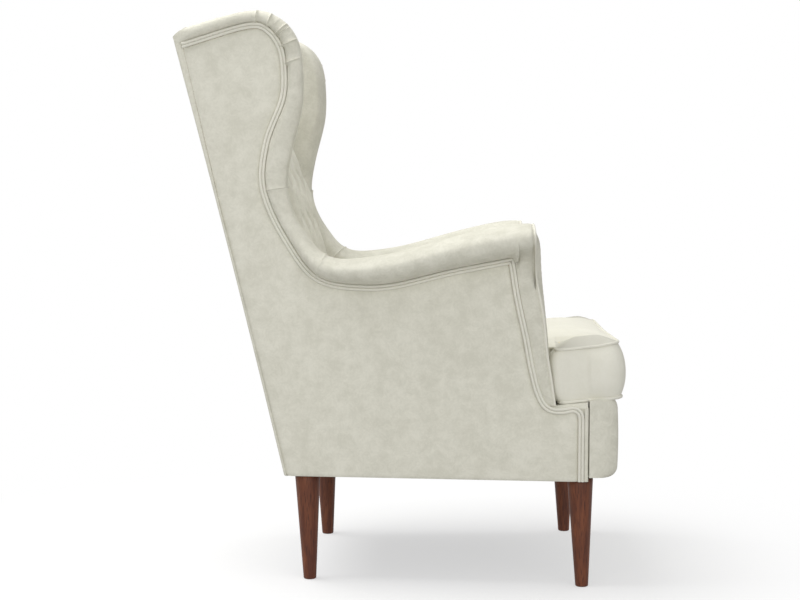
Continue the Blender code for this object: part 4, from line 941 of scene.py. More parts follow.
def piping_tree():
    """Round cord along each line of edges."""
    found = bpy.data.node_groups.get("piping")
    if found:
        return found
    tree, given = new_tree("piping", (("Radius", "Float"), ("Sides", "Int"), ("Finish", "Material")))
    curve = add_node(tree, "GeometryNodeMeshToCurve", inputs={"Mesh": given["Geometry"]})
    circle = add_node(tree, "GeometryNodeCurvePrimitiveCircle",
                      inputs={"Resolution": given["Sides"], "Radius": given["Radius"]})
    tube = add_node(tree, "GeometryNodeCurveToMesh",
                    inputs={"Curve": curve.outputs["Curve"],
                            "Profile Curve": circle.outputs["Curve"], "Fill Caps": True})
    end_tree(tree, tube.outputs["Mesh"], given["Finish"])
    return tree


def teeth_tree():
    """Small blocks at even places along each line of edges, such as the teeth of a zip."""
    found = bpy.data.node_groups.get("zip teeth")
    if found:
        return found
    tree, given = new_tree("zip teeth", (("Pitch", "Float"), ("Tooth", "Vector"),
                                         ("Finish", "Material")))
    curve = add_node(tree, "GeometryNodeMeshToCurve", inputs={"Mesh": given["Geometry"]})
    points = add_node(tree, "GeometryNodeCurveToPoints", {"mode": "LENGTH"},
                      {"Curve": curve.outputs["Curve"], "Length": given["Pitch"]})
    tooth = add_node(tree, "GeometryNodeMeshCube", inputs={"Size": given["Tooth"]})
    placed = add_node(tree, "GeometryNodeInstanceOnPoints",
                      inputs={"Points": points.outputs["Points"], "Instance": tooth.outputs["Mesh"],
                              "Rotation": points.outputs["Rotation"]})
    end_tree(tree, placed.outputs["Instances"], given["Finish"])
    return tree


def along_lines(name, lines, tree, inputs, slot, body, closed=False):
    """Makes a piece by a Geometry Nodes tree that follows lines of points."""
    vertices = []
    edges = []
    for line in lines:
        first = len(vertices)
        vertices += [tuple(p) for p in line]
        count = len(line)
        spans = count if closed else count - 1
        edges += [(first + k, first + (k + 1) % count) for k in range(spans)]
    mesh = bpy.data.meshes.new(name + "_line")
    mesh.from_pydata(vertices, edges, [])
    guide = linked(name + "_line", mesh)
    step = guide.modifiers.new(tree.name, "NODES")
    step.node_group = tree
    for label, value in (*inputs.items(), ("Finish", finishes()[slot])):
        step[tree_input(tree, label)] = value
    evaluated = guide.evaluated_get(bpy.context.evaluated_depsgraph_get())
    made_mesh = bpy.data.meshes.new_from_object(evaluated)
    guide.modifiers.remove(step)
    bpy.data.objects.remove(guide, do_unlink=True)
    made_mesh.name = name
    made_mesh.shade_smooth()
    made_mesh.set_sharp_from_angle(angle=SHARP)
    made = linked(name, made_mesh)
    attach(made, body)
    return made


def piping(name, lines, radius, body, closed=False):
    """Round cord in a velvet sleeve, along lines of points."""
    return along_lines(name, lines, piping_tree(), {"Radius": radius, "Sides": 14}, "welt_velvet",
                       body, closed)


def round_corner(line, reach):
    """Rounds the sharp corners of a flat line over a short reach."""
    gentle_turn = radians(40.0)
    result = [line[0]]
    for before, point, after in zip(line, line[1:], line[2:]):
        a = point - before
        b = after - point
        a_size = np.linalg.norm(a)
        b_size = np.linalg.norm(b)
        turn = np.dot(a, b) / max(a_size * b_size, 1e-12)
        if turn > cos(gentle_turn):
            result.append(point)
            continue
        start = point - a / a_size * min(reach, 0.45 * a_size)
        end = point + b / b_size * min(reach, 0.45 * b_size)
        for share in np.linspace(0.0, 1.0, 6):
            result.append(lerp(lerp(start, point, share), lerp(point, end, share), share))
    result.append(line[-1])
    return np.array(result)


def from_strip(line):
    """The line, started from the front edge of the strip that is wrapped round from the back."""
    step = line[0] - line[1]
    reach = back_y(line[0, 1]) - flange(line[0, 1]) - line[0, 0]
    return np.vstack([line[:1] + step * reach / step[0], line])


def build_side_cover(label, side):
    """Velvet over wadding on the side, drawn down to its piping all round."""
    z = np.linspace(LEG_LENGTH, PANEL_LINE[0, 1], 60)
    rear = np.stack([back_y(z) - flange(z) - GAP, z], axis=-1)
    points, faces, _ = fill(np.vstack([PANEL_LINE, rear]), spacing=0.0075)
    from_welt = to_line(points, PANEL_LINE)
    from_rear = to_line(points, rear)
    from_foot = points[:, 1] - LEG_LENGTH
    foot_drop = 0.0016
    pillow_rise = 0.0022
    unevenness = 0.0006
    relief = -sizes().seam_drop * falloff(from_welt, reach=0.016, power=2.4)
    relief -= VALLEY * falloff(from_rear, reach=0.015, power=2)
    relief -= foot_drop * falloff(from_foot, reach=0.005, power=2)
    pillow = ease(np.minimum(np.minimum(from_welt, from_rear), from_foot + 0.02) / 0.13)
    places = np.column_stack([points, np.full(len(points), side * 1.0)])
    relief += pillow_rise * pillow
    relief += unevenness * rumple(places, size=0.11, seed=1.3) * ease(from_welt / 0.02)
    front = side_points(side, points[:, 0], points[:, 1], relief)
    back = side_points(side, points[:, 0], points[:, 1], -PANEL_THICKNESS - 0.0002)
    made = sheet_solid("side_cover_" + label, front, back, faces, ["velvet"], CHAIR)
    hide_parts("outer_side_panel_" + label)


def build_side_piping(label, side):
    """Two cords in one folded strip, all round the side cover."""
    r = sizes().cord
    cord_out = 0.0006
    strip_out = -0.0012
    strip_in = -0.0030
    lines = []
    for along in (WELT_BAND / 2.0 - r, WELT_BAND / 2.0 + r):
        line = from_strip(round_corner(beside(PANEL_LINE, -along), 0.003))
        line[:, 1] = np.maximum(line[:, 1], LEG_LENGTH + 0.0005)
        lines.append(side_points(side, line[:, 0], line[:, 1], cord_out))
    made = piping("side_piping_" + label, lines, r, CHAIR)
    edges = [from_strip(beside(PANEL_LINE, -along)) for along in (GAP, WELT_BAND - GAP)]
    for edge in edges:
        edge[:, 1] = np.maximum(edge[:, 1], LEG_LENGTH)
    rings = [[side_points(side, p[0], p[1], out) for p, out in
              ((a, strip_out), (b, strip_out), (b, strip_in), (a, strip_in))]
             for a, b in zip(*edges)]
    strip = loft("side_piping_strip_" + label, rings, "welt_velvet")
    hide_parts("side_welt_" + label)


def meet_rolls(edge, start, corner):
    """Carries the back cover's top edge up to the ends of the wing rolls."""
    seam, crest = WING_SEAM[0], WING_CREST[0]
    half = side_half(seam[0], seam[1])
    from_side = half - abs(edge[:, 0])
    across = np.clip((from_side / ROLL_WIDTH - 0.36) / 0.64, 0.0, 1.0)
    rounded = np.sqrt(np.clip((edge[:, 1] - start) / corner, 0.0, 1.0))
    share = 0.96 * (1.0 - across ** 4) * rounded
    edge[:, 1] += (crest[0] + GAP - edge[:, 1].max()) * share
    edge[:, 2] += (crest[1] - seam[1]) * share


def build_back_cover():
    """Back cover, taut between its edges and wrapped a finger's width round to each side."""
    seam = line_at(WING_SEAM, np.linspace(0.0, 2.0, 40))
    top = seam[0, 1] - GAP
    heights = np.concatenate([[LEG_LENGTH, LEG_LENGTH + 0.002],
                              np.linspace(LEG_LENGTH + 0.010, top - 0.010, 70), [top]])
    corner = 0.005
    deepest_bow = 0.0030
    deepest_hollow = 0.0012
    across = np.linspace(-1.0, 1.0, 61)
    turn = np.linspace(0.0, pi / 2.0, 7)
    rings = []
    for i, z in enumerate(heights):
        share = (z - LEG_LENGTH) / (top - LEG_LENGTH)
        bow = deepest_bow * sin(pi * share)
        y = back_y(z)
        rim = 0.0012 if i == 0 else 0.0
        strip = y - flange(z)
        run = []
        for k, place in enumerate(np.linspace(strip, y - corner - bow, 7)):
            fold = VALLEY * (1.0 - k / 6.0) ** 2
            run.append((side_half(place, z) - rim - fold, place))
        for angle in turn:
            px = side_half(y - corner, z) - corner + corner * cos(angle) - rim
            run.append((px, y - bow - rim - corner + corner * sin(angle)))
        half = run[-1][0] - 0.004
        skin = [(-px, py) for px, py in run]
        for part in across:
            hollow = deepest_hollow * sin(pi * share) * (1.0 - part ** 2)
            skin.append((part * half, y - bow - rim - hollow))
        skin += run[::-1]
        inner_y = y - PANEL_THICKNESS
        inner = side_half(inner_y, z) - PANEL_THICKNESS
        edge = side_half(strip, z) - PANEL_THICKNESS
        back = [(edge, strip), (inner, inner_y), (-inner, inner_y), (-edge, strip)]
        rings.append([(px, py, z) for px, py in skin + back])
    rings = np.array(rings)
    lift = np.interp(-rings[-1, :, 1], -seam[:, 0], seam[:, 1]) + 0.0006 - top
    rings[-1, :, 2] += np.maximum(lift, 0.0)
    meet_rolls(rings[-1, :-len(back)], back_y(top) - corner, corner)
    made = loft("back_cover", rings, "velvet")
    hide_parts("outer_back_panel")


def roll_sections(seam, crest, low, bulge, growth):
    """For each station: the roll's skin and its lining, as arrays of y, z and out."""
    wing = curve_at(WING_ROLL_SHARES, SECTION_ROWS)
    arm = curve_at(ARM_ROLL_SHARES, SECTION_ROWS)
    across = lerp(wing[None, :, 0], arm[None, :, 0], growth[:, None])
    rise = lerp(wing[None, :, 1], arm[None, :, 1], growth[:, None])
    out = np.where(across > 0.0, across * bulge[:, None], across * ROLL_WIDTH)
    skin = seam[:, None] + (crest - seam)[:, None] * rise[..., None]
    share = np.linspace(0.0, 1.0, LINING_STEPS + 1)[1:]
    lining = skin[:, -1:] + (low - skin[:, -1])[:, None] * share[None, :, None]
    places = np.concatenate([skin, lining], axis=1)
    outs = np.concatenate([out, np.full(lining.shape[:2], -ROLL_WIDTH)], axis=1)
    return places, outs


def lining_puff(places, outs):
    """Padding under the linings, above the cushion and in front of the inside back."""
    inner = ease((-outs / ROLL_WIDTH - 0.75) / 0.25)
    y = places[..., 0]
    z = places[..., 1]
    face = np.interp(z, BACK_FACE[:, 1], BACK_FACE[:, 0])
    above = ease((z - CUSHION_SEAM_HEIGHT - 0.04) / 0.07)
    return LINING_PUFF * inner * above * ease((face - y) / 0.05)


def pleats(rows, along, count):
    """How far the wing roll's gathers sink and rise its skin, for each station and section row."""
    across = np.minimum(SECTION_ROWS / CREST_ROW, 1.6)
    across = np.concatenate([across, np.full(count - len(across), 1.6)])
    total = np.zeros((len(rows), count))
    for crest_row, seam_row, depth in PLEATS:
        centre = np.interp(lerp(seam_row, crest_row, across), rows, along)
        distance = along[:, None] - centre[None, :]
        fold = PLEAT_RIDGE * bell(distance - 0.0052, width=0.0040)
        fold -= np.exp(-(abs(distance) / PLEAT_WIDTH) ** 1.4)
        fold -= PLEAT_SLOPE * np.where(distance < 0.0, np.exp(distance / 0.0060), 0.0)
        ends = ease((1.02 - across) / 0.42) * (0.65 + 0.35 * ease(across / 0.25))
        total += PLEAT_DEPTH * depth * fold * ends[None, :]
    return total


def hidden_edge(side, low, seam):
    """Points under a roll, from its lining's low edge to its seam, inside the board."""
    return np.stack([side_points(side, line[:, 0], line[:, 1], INNER_LAYER)
                     for line in (low, seam)], axis=1)


def wing_rows():
    """Stations of the wing roll, closer together where it is gathered."""
    first, last = PLEAT_ROWS
    return np.concatenate([even_rows(WING_SEAM, PLAIN_STEP, last=first)[:-1],
                           even_rows(WING_SEAM, PLEAT_STEP, first, last)[:-1],
                           even_rows(WING_SEAM, PLAIN_STEP, first=last)])


def build_wing_roll(label, side):
    """Padded roll of the wing, gathered into pleats round its curve, with its inner lining."""
    rows = wing_rows()
    seam = line_at(WING_SEAM, rows)
    crest = line_at(WING_CREST, rows)
    corner_rise = 0.0016
    end_bulge = 0.0004
    crest[:, 1] += corner_rise * np.sin(pi * np.clip(rows / 1.6, 0.0, 1.0))
    along = lengths((seam + crest) / 2.0)
    share = rows / rows[-1]
    low_z = lerp(POST_TOP + POST_WIDTH, WAIST_HEIGHT, share)
    low = np.stack([back_y(low_z) - LINING_SETBACK, low_z + GAP * (1.0 - share)], axis=-1)
    growth = np.zeros(len(rows))
    bulge = lerp(end_bulge, WING_BULGE, ease((along - 0.004) / 0.034))
    places, outs = roll_sections(seam, crest, low, bulge, growth)
    outs = outs - lining_puff(places, outs)
    grid = side_points(side, places[..., 0], places[..., 1], outs)
    section = np.arange(grid.shape[1])
    relief = pleats(rows, along, grid.shape[1])
    relief -= np.outer(SEAM_DIP * bell(along[-1] - along, SEAM_WIDTH), ease(section / 3.0))
    crown = 0.0012
    puff = crown * np.sin(np.clip(section / 42.0, 0.0, 1.0) * pi)
    relief += np.outer(ease(along / 0.02), puff)
    grid = push(grid, side * relief)
    rings = np.concatenate([grid, hidden_edge(side, low, seam)], axis=1)
    rings[-1, :, 2] += GAP
    made = loft("wing_roll_" + label, rings, "across")
    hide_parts("wing_pad_" + label)


def arm_low(share):
    """Lower edge of the arm's lining: down the back, then forward beside the seat."""
    rear_z = deck_top(back_y(seat_z(0.0)) - LINING_SETBACK) - LINING_TUCK
    rear = np.array([back_y(rear_z) - LINING_SETBACK, rear_z])
    down_z = lerp(WAIST_HEIGHT, rear_z, np.minimum(share / LINING_BEND_SHARE, 1.0))
    y = lerp(rear[0], facing_y(deck_top(-EAR_REAR)),
             np.clip((share - LINING_BEND_SHARE) / (1.0 - LINING_BEND_SHARE), 0.0, 1.0))
    down = np.stack([back_y(down_z) - LINING_SETBACK, down_z], axis=-1)
    forward = np.stack([y, deck_top(y) - LINING_TUCK], axis=-1)
    return np.where((share < LINING_BEND_SHARE)[:, None], down, forward)


def softened(sections, reach):
    """Sections with their corners smoothed over a reach, counted in points."""
    kernel = np.exp(-(np.arange(-40, 41) / reach) ** 2)
    kernel /= kernel.sum()
    padded = np.pad(sections, ((0, 0), (40, 40), (0, 0)), mode="edge")
    return np.stack([[np.convolve(row, kernel, mode="valid") for row in padded[..., k]]
                     for k in range(2)], axis=-1)


class Arm:
    """Stations of the arm's pad: its rolled part, and its part wrapped round the front post."""

    def __init__(self):
        outer = beside(FRONT_LINE, -WELT_BAND - GAP)
        self.outer = outer[outer[:, 1] > LEDGE + WELT_BAND]
        fine = np.linspace(0.0, ARM_ROWS, 600)
        seam = line_at(ARM_SEAM, fine)
        self.corner = np.interp(-self.outer[0, 0], -seam[:, 0], fine)
        self.rows = even_rows(ARM_SEAM, 0.0022, last=self.corner)
        self.wrap_rows = np.interp(self.wrap_shares(), [0.0, 1.0], [self.corner, ARM_ROWS])

    def wrap_shares(self):
        """Places of the wrapped stations, from the post's side to its front, closer at both ends."""
        steps = np.linspace(0.0, 1.0, WRAP_STEPS + 1)
        shares = 1.0 - (1.0 - steps) ** 1.6
        return np.concatenate([np.linspace(0.0, 0.16, 9), shares[shares > 0.18]])

    def sections(self, rows):
        """The seam, the lining's low edge, and the sections of the rolled part."""
        seam = line_at(ARM_SEAM, rows)
        crest = line_at(ARM_CREST, rows)
        start, end = ROLL_GROWTH_SHARES
        growth = ease((rows / ARM_ROWS - start) / (end - start))
        bulge = lerp(WING_BULGE, ARM_BULGE, growth)
        low = arm_low(rows / ARM_ROWS)
        places, outs = roll_sections(seam, crest, low, bulge, growth)
        return seam, low, places, outs

    def wrapped(self):
        """Sections round the post: its outer face, then roll and lining, as y, z and out."""
        seam, _, places, outs = self.sections(self.wrap_rows)
        share = self.wrap_shares()
        foot = deck_top(-EAR_REAR) + 2.0 * GAP - LINING_TUCK
        up = np.linspace(0.0, 1.0, LEG_STEPS + 1)[:-1]
        z = lerp(foot, seam[:, 1][:, None], up[None, :])
        y = at_height(self.outer, z)
        y = y + (seam[:, 0] - at_height(self.outer, seam[:, 1]))[:, None] * up[None, :] ** 3
        y = np.maximum(y, facing_y(z) + 0.0012)
        leg = np.stack([y, z], axis=-1)
        places = np.concatenate([leg, places], axis=1)
        outs = np.concatenate([np.zeros(z.shape), outs], axis=1)
        sharp = np.stack([outs, places[..., 1]], axis=-1)
        later = ease((share - 0.1) / 0.9)[:, None]
        soft = lerp(*(softened(sharp, reach) for reach in WRAP_SOFT), later[..., None])
        index = np.arange(sharp.shape[1])[None, :]
        near = np.exp(-((index - LEG_STEPS + 3.0) / lerp(*WRAP_SPAN, later)) ** 4)
        amount = near * ease(share * 7.0)[:, None]
        sharp = lerp(sharp, soft, amount[..., None])
        outs = sharp[..., 0]
        z = sharp[..., 1]
        y = lerp(places[..., 0], facing_y(z), share[:, None])
        return share, y, z, outs


ARM = Arm()


def inset_section(out, z, distance):
    """A section of the arm drawn in from its skin by a distance that may differ at each point."""
    line = np.stack([out, z], axis=-1)
    run = np.gradient(line, axis=0)
    run /= np.maximum(np.linalg.norm(run, axis=-1), 1e-9)[:, None]
    inward = np.stack([-run[:, 1], run[:, 0]], axis=-1)
    middle = np.array([-ROLL_WIDTH / 2.0, np.mean(z)])
    if ((middle - line) * inward).sum() < 0.0:
        inward = -inward
    return line + inward * np.asarray(distance)[..., None]


def facing_section(distance):
    """Outline of the arm's front, drawn in by a distance, from its outer foot to its inner one."""
    _, _, z, out = ARM.wrapped()
    line = inset_section(out[-1], z[-1], np.full(z.shape[1], distance))
    return resample(line, 0.003)


def build_arm(label, side):
    """Padded arm: the roll, its lining, and the padding wrapped round the front post."""
    rows = ARM.rows
    seam, low, places, outs = ARM.sections(rows)
    along = lengths(seam)
    outs = outs - lining_puff(places, outs)
    share, y, z, out = ARM.wrapped()
    out = out - lining_puff(np.stack([y, z], axis=-1), out)
    behind = np.maximum(y - facing_y(z), 0.0)
    reach = np.clip(ROUND_OVER - behind, 0.0, ROUND_OVER)
    tuck = ROUND_OVER - np.sqrt(np.maximum(ROUND_OVER ** 2 - reach ** 2, 0.0))
    tuck = np.minimum(tuck, ROUND_LIMIT)
    turned = np.array([inset_section(out[i], z[i], tuck[i]) for i in range(len(share))])
    pad = WRAP_PUFF * np.sin(pi * np.clip(share, 0.0, 1.0))[:, None]
    stem = np.zeros(out.shape)
    stem[:, :LEG_STEPS] = 1.0
    stem = stem * ease(np.linspace(0.0, 1.0, out.shape[1]) * 30.0)[None, :]
    wrap = side_points(side, y, turned[..., 1], turned[..., 0] + pad * stem)
    skin = side_points(side, places[..., 0], places[..., 1], outs)
    joined = np.concatenate([skin, wrap[1:, LEG_STEPS:]], axis=0)
    station = np.concatenate([along, along[-1] + lengths(wrap[:, LEG_STEPS])[1:]])
    relief = np.zeros(joined.shape[:2])
    relief -= SEAM_DIP * bell(along[0] - station, SEAM_WIDTH)[:, None]
    relief -= arm_seam_line(rows, station, along, joined.shape[1])
    relief -= arm_crease(station, along[-1], joined.shape[1])
    relief *= ease(np.arange(joined.shape[1]) / 3.0)[None, :]
    joined = push(joined, side * relief)
    count_a = len(rows)
    wrap = np.concatenate([wrap[:, :LEG_STEPS], joined[count_a - 1:]], axis=1)
    rear = np.concatenate([joined[:count_a], hidden_edge(side, low, seam)], axis=1)
    ring_a = rear.shape[1]
    ring_b = wrap.shape[1]
    behind_facing = (0.0, 0.006, 0.0)
    middles = [rear[0].mean(axis=0), wrap[-1].mean(axis=0) + behind_facing]
    vertices = np.vstack([rear.reshape(-1, 3), wrap.reshape(-1, 3), middles])
    base = count_a * ring_a
    faces = loft_faces(count_a, ring_a) + loft_faces(len(share), ring_b, base)
    end = base + len(share) * ring_b
    faces += fan(range(ring_a), end)
    faces += fan(range(end - ring_b, end), end + 1)
    last = (count_a - 1) * ring_a
    leg = [base + k for k in range(LEG_STEPS)] + [last]
    foot, low_inner, high_inner = last + ring_a - 3, last + ring_a - 2, last + ring_a - 1
    half = LEG_STEPS // 2
    faces += [(leg[k], leg[k + 1], low_inner if k < half else high_inner) for k in range(LEG_STEPS)]
    faces += [(leg[half], high_inner, low_inner), (leg[0], low_inner, foot)]
    made = solid("arm_" + label, vertices, faces, ["across"], CHAIR)
    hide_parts("arm_pad_" + label, "arm_front_pad_" + label)


def arm_seam_line(rows, station, along, count):
    """Cross seam of the arm's cover, a hand below the waist."""
    across = np.minimum(SECTION_ROWS / CREST_ROW, 1.5)
    across = np.concatenate([across, np.full(count - len(across), 1.5)])
    centre = np.interp(lerp(*ARM_SEAM_ROWS, across), rows, along)
    return ARM_SEAM_DIP * bell(station[:, None] - centre[None, :], width=0.0021)


def arm_crease(station, corner, count):
    """Tuck of the cover that runs up and forward from the mitred corner of the piping."""
    across = np.concatenate([SECTION_ROWS, np.full(count - len(SECTION_ROWS), 9.0)])
    centre = corner - 0.0012 + 0.0015 * across      # leans forward as it rises
    depth = ARM_CREASE * ease((3.9 - across) / 2.7) * ease((across + 0.4) / 0.6)
    width = lerp(0.0036, 0.0022, np.clip(across / 3.5, 0.0, 1.0))
    return depth[None, :] * bell(station[:, None] - centre[None, :], width[None, :])


def build_facing(label, side):
    """Padded cover on the front of the arm, with its own cord."""
    r = FACING_CORD
    outline = facing_section(FACING_EDGE)
    foot = outline[:, 1].min() + FACING_EDGE - 0.001
    outline = outline[outline[:, 1] > foot]
    points, faces, edge = fill(outline, spacing=0.0055)
    z = points[:, 1]
    height = np.clip((z - foot) / (ARM_CREST[-1, 1] - foot), 0.0, 1.0)
    crown = lerp(FACING_CROWN_BOTTOM, FACING_CROWN_TOP, height) + facing_dip(z)
    places = np.column_stack([points, np.full(len(points), side * 0.5)])
    rise = crown * (1.0 - falloff(edge, reach=0.045, power=2.1))
    unevenness = 0.0005
    rise += unevenness * rumple(places, size=0.035, seed=4.1) * ease(edge / 0.01)
    front = side_points(side, facing_y(z) - GAP - rise, z, points[:, 0])
    back = side_points(side, facing_y(z) - GAP + 0.0002, z, points[:, 0])
    made = sheet_solid("arm_facing_" + label, front, back, faces, ["across"], CHAIR)
    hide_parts("arm_front_panel_" + label)
    line = facing_section(FACING_EDGE - r - FACING_OVERLAP)
    line = line[line[:, 1] > foot - FACING_EDGE]
    path = side_points(side, facing_y(line[:, 1]) - GAP - 0.7 * r, line[:, 1], line[:, 0])
    cord = piping("arm_facing_piping_" + label, [path], r, CHAIR)
    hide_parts("arm_front_welt_" + label)


def build_border():
    """Padded front border, with its plain return on each side behind a narrow slit."""
    rear = -BASE_FACE - SLIT
    front = -BASE_FACE - GAP - BORDER_THICKNESS
    low = LEG_LENGTH + BORDER_CLEARANCE
    top = seat_z(front, -GAP - EDGE_SAG)
    r = BORDER_ROUND
    bow = 0.0012
    unevenness = 0.0005
    rows = [(rear, low), (rear - 0.006, low)]
    for angle in np.linspace(0.0, pi / 2.0, 12)[1:]:
        rows.append((front + r - r * sin(angle), low + r - r * cos(angle)))
    for share in np.linspace(0.0, 1.0, 26)[1:-1]:
        rows.append((front - bow * sin(pi * share), lerp(low + r, top - r, share)))
    for angle in np.linspace(0.0, pi / 2.0, 14):
        rows.append((front + r / 2.0 - r / 2.0 * cos(angle), top - r + r * sin(angle)))
    rows.append((front + r, seat_z(front + r, -GAP - EDGE_SAG / 2.0)))
    rows.append((rear, seat_z(rear, -GAP)))
    ends = curve_at(BORDER_END_SHARES, np.linspace(0.0, 4.0, 17))
    half = side_half(rear, (low + top) / 2.0)
    stations = [(-half + back * r, size) for back, size in ends]
    stations += [(x, 1.0) for x in np.linspace(-1.0, 1.0, 61)[1:-1] * (half - r)]
    stations += [(half - back * r, size) for back, size in ends[::-1]]
    rings = []
    for x, size in stations:
        wave = unevenness * noise.noise(Vector((x / 0.05, 2.0, 0.5)))
        rings.append([(x, rear + (y - rear) * size + wave * (y < rear - r), z) for y, z in rows])
    made = loft("front_border", rings, "across")
    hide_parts("front_border_pad")
    both_sides(build_border_return)


def build_border_return(label, side):
    """Narrow strip of the border's cover beside the piping, turned in behind the border."""
    rear = -FRONT_EDGE - WELT_BAND - GAP
    face = -BASE_FACE - 0.0002
    plan = [(rear, -0.0006), (rear - 0.0020, -0.0004), (face + 0.0020, -0.0005),
            (face + 0.0008, -0.0014), (face - 0.0004, -0.0045), (face - 0.0006, -0.0090),
            (face - 0.0006, -0.0300), (face, -0.0300), (face, -0.0064), (rear + 0.0150, -0.0060),
            (rear + 0.0150, -0.0040), (rear, -0.0040)]
    heights = np.linspace(LEG_LENGTH + 0.0004, LEDGE + WELT_BAND - 0.001, 40)
    rings = [[side_points(side, y, height, out) for y, out in plan] for height in heights]
    made = loft("border_return_" + label, rings, "velvet")


def build_deck_skirt(label, side):
    """Strip of velvet from the edge of the seat deck down behind the piping of the ledge."""
    rings = []
    for y in np.linspace(-EAR_REAR + 0.045, -BASE_FACE + 0.0008, 32):
        high = seat_z(y, -GAP - EDGE_SAG)
        low = LEDGE + WELT_BAND - 0.0015
        deck = side_half(y, LEG_LENGTH) - DECK_INSET
        foot = side_half(y, low) - 0.0020
        section = ((deck + 0.0002, high), (lerp(deck, foot, 0.45) + 0.0008, lerp(high, low, 0.4)),
                   (foot, low), (foot - 0.0030, low), (deck - 0.0030, high))
        rings.append([(side * x, y, z) for x, z in section])
    made = loft("deck_skirt_" + label, rings, "velvet")


def tufts(x, rise):
    """How far the inside back is drawn in, at places across and up it."""
    size = sizes()
    quarter = size.tuft_height / 4.0
    a = x / size.tuft_width + rise / size.tuft_height
    b = x / size.tuft_width - rise / size.tuft_height
    pleat_a = np.abs(np.sin(pi * a))
    pleat_b = np.abs(np.sin(pi * b))
    nearer = np.minimum(pleat_a, pleat_b)
    valley = 1.0 - nearer ** 0.55
    pinch = np.exp(-3.2 * (pleat_a ** 2 + pleat_b ** 2))
    lip = TUFT_LIP * bell(nearer - 0.28, width=0.13)
    top = TUFT_ROWS * size.tuft_height / 2.0
    inside = ease((rise + quarter) / quarter) * ease((top - rise + quarter) / quarter)
    return inside * (size.pleat_depth * valley + size.tuft_depth * pinch - lip)


def build_inside_back():
    """Tufted inside back, rolled over the top rail to the back cover."""
    face = curve_at(BACK_FACE, even_rows(BACK_FACE, 0.0030))
    top = np.vstack([face[-1:], [back_face(row) for row in BACK_TOP_SHARES]])
    roll = curve_at(top, np.linspace(0.0, 4.0, 25))[1:]
    shelf = POST_TOP + POST_WIDTH / 2.0 + GAP
    rear_top = WING_SEAM[0, 1]
    web_face = PANEL_THICKNESS + 0.040 + 0.002 + 4.0 * GAP      # posts, webs and gaps
    low = face[0, 1]
    rear = [(back_y(rear_top) - GAP, rear_top + GAP),
            (back_y(rear_top) - PANEL_THICKNESS - 2.0 * GAP, rear_top),
            (back_y(shelf) - PANEL_THICKNESS - 2.0 * GAP, shelf),
            (back_y(shelf) - web_face, shelf), (back_y(low) - web_face, low)]
    room = ROLL_WIDTH + GAP
    rings = []
    for share in np.linspace(-1.0, 1.0, 161):
        half = side_half(face[:, 0], face[:, 1]) - room
        sunk = tufts(share * half, face[:, 1] - LEG_LENGTH - TUFT_START)
        edge = 1.0 - ease((1.0 - abs(share)) / 0.10)
        drawn = face.copy()
        drawn[:, 0] += lerp(sunk, sizes().tuft_depth, edge)
        section = np.vstack([drawn, roll, rear])
        half = side_half(section[:, 0], section[:, 1]) - room
        rings.append(np.column_stack([share * half, section]))
    made = loft("inside_back", rings, "velvet")
    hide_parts("inside_back_pad")


def round_corners(corners, spacing):
    """Closed outline through corners, each given as a point and its radius, in even steps."""
    result = []
    count = len(corners)
    for i, (point, radius) in enumerate(corners):
        point = np.array(point)
        if radius == 0.0:
            result.append(point)
            continue
        before = np.array(corners[i - 1][0]) - point
        after = np.array(corners[(i + 1) % count][0]) - point
        before /= np.linalg.norm(before)
        after /= np.linalg.norm(after)
        half = np.arccos(np.clip(np.dot(before, after), -1.0, 1.0)) / 2.0
        reach = radius * cos(half) / sin(half)
        start = point + before * reach
        end = point + after * reach
        for t in np.linspace(0.0, 1.0, 12):
            result.append(lerp(lerp(start, point, t), lerp(point, end, t), t))
    ring = np.array(result)
    return resample(np.vstack([ring, ring[:1]]), spacing)[:-1]


def cushion_outline(shrink, spacing):
    """The cushion's seams, seen from above, drawn in by a distance."""
    front = CUSHION_FRONT + shrink
    room_for_cord = 0.0051          # with the slack of its sleeve
    z = seat_z(0.0)
    ear_front = side_half(front, z) - EAR_INSET - shrink
    ear_rear_y = -EAR_REAR - shrink
    ear_rear = side_half(ear_rear_y, z) - EAR_INSET - shrink
    room = ROLL_WIDTH + CUSHION_CLEARANCE + room_for_cord + shrink
    body_front = side_half(ear_rear_y, z) - room
    in_front = 0.04 * BACK_THICKNESS + 2.0 * CUSHION_CLEARANCE
    rear = BACK_FACE[0, 0] - in_front - room_for_cord - shrink
    body_rear = side_half(rear, z) - room
    half = [
        ((0.0, front + SEAM_DRAW), 0.0),
        ((ear_front, front), CORNER_RADIUS),
        ((ear_rear - SEAM_DRAW / 2.0, (front + ear_rear_y) / 2.0), 0.0),
        ((ear_rear, ear_rear_y), EAR_RADIUS),
        ((body_front, ear_rear_y), NOTCH_RADIUS),
        (((body_front + body_rear) / 2.0 - SEAM_DRAW, (ear_rear_y + rear) / 2.0), 0.0),
        ((body_rear, rear), CORNER_RADIUS),
        ((0.0, rear - SEAM_DRAW), 0.0),
    ]
    other = [((-p[0], p[1]), r) for p, r in half[1:-1]]
    return round_corners(half + other[::-1], spacing)


def cushion_place(flat, height):
    """From the cushion's own flat frame to its raked place on the deck."""
    return np.stack([flat[:, 0], flat[:, 1] + CUSHION_LEAN * height,
                     seat_z(flat[:, 1]) + height], axis=-1)


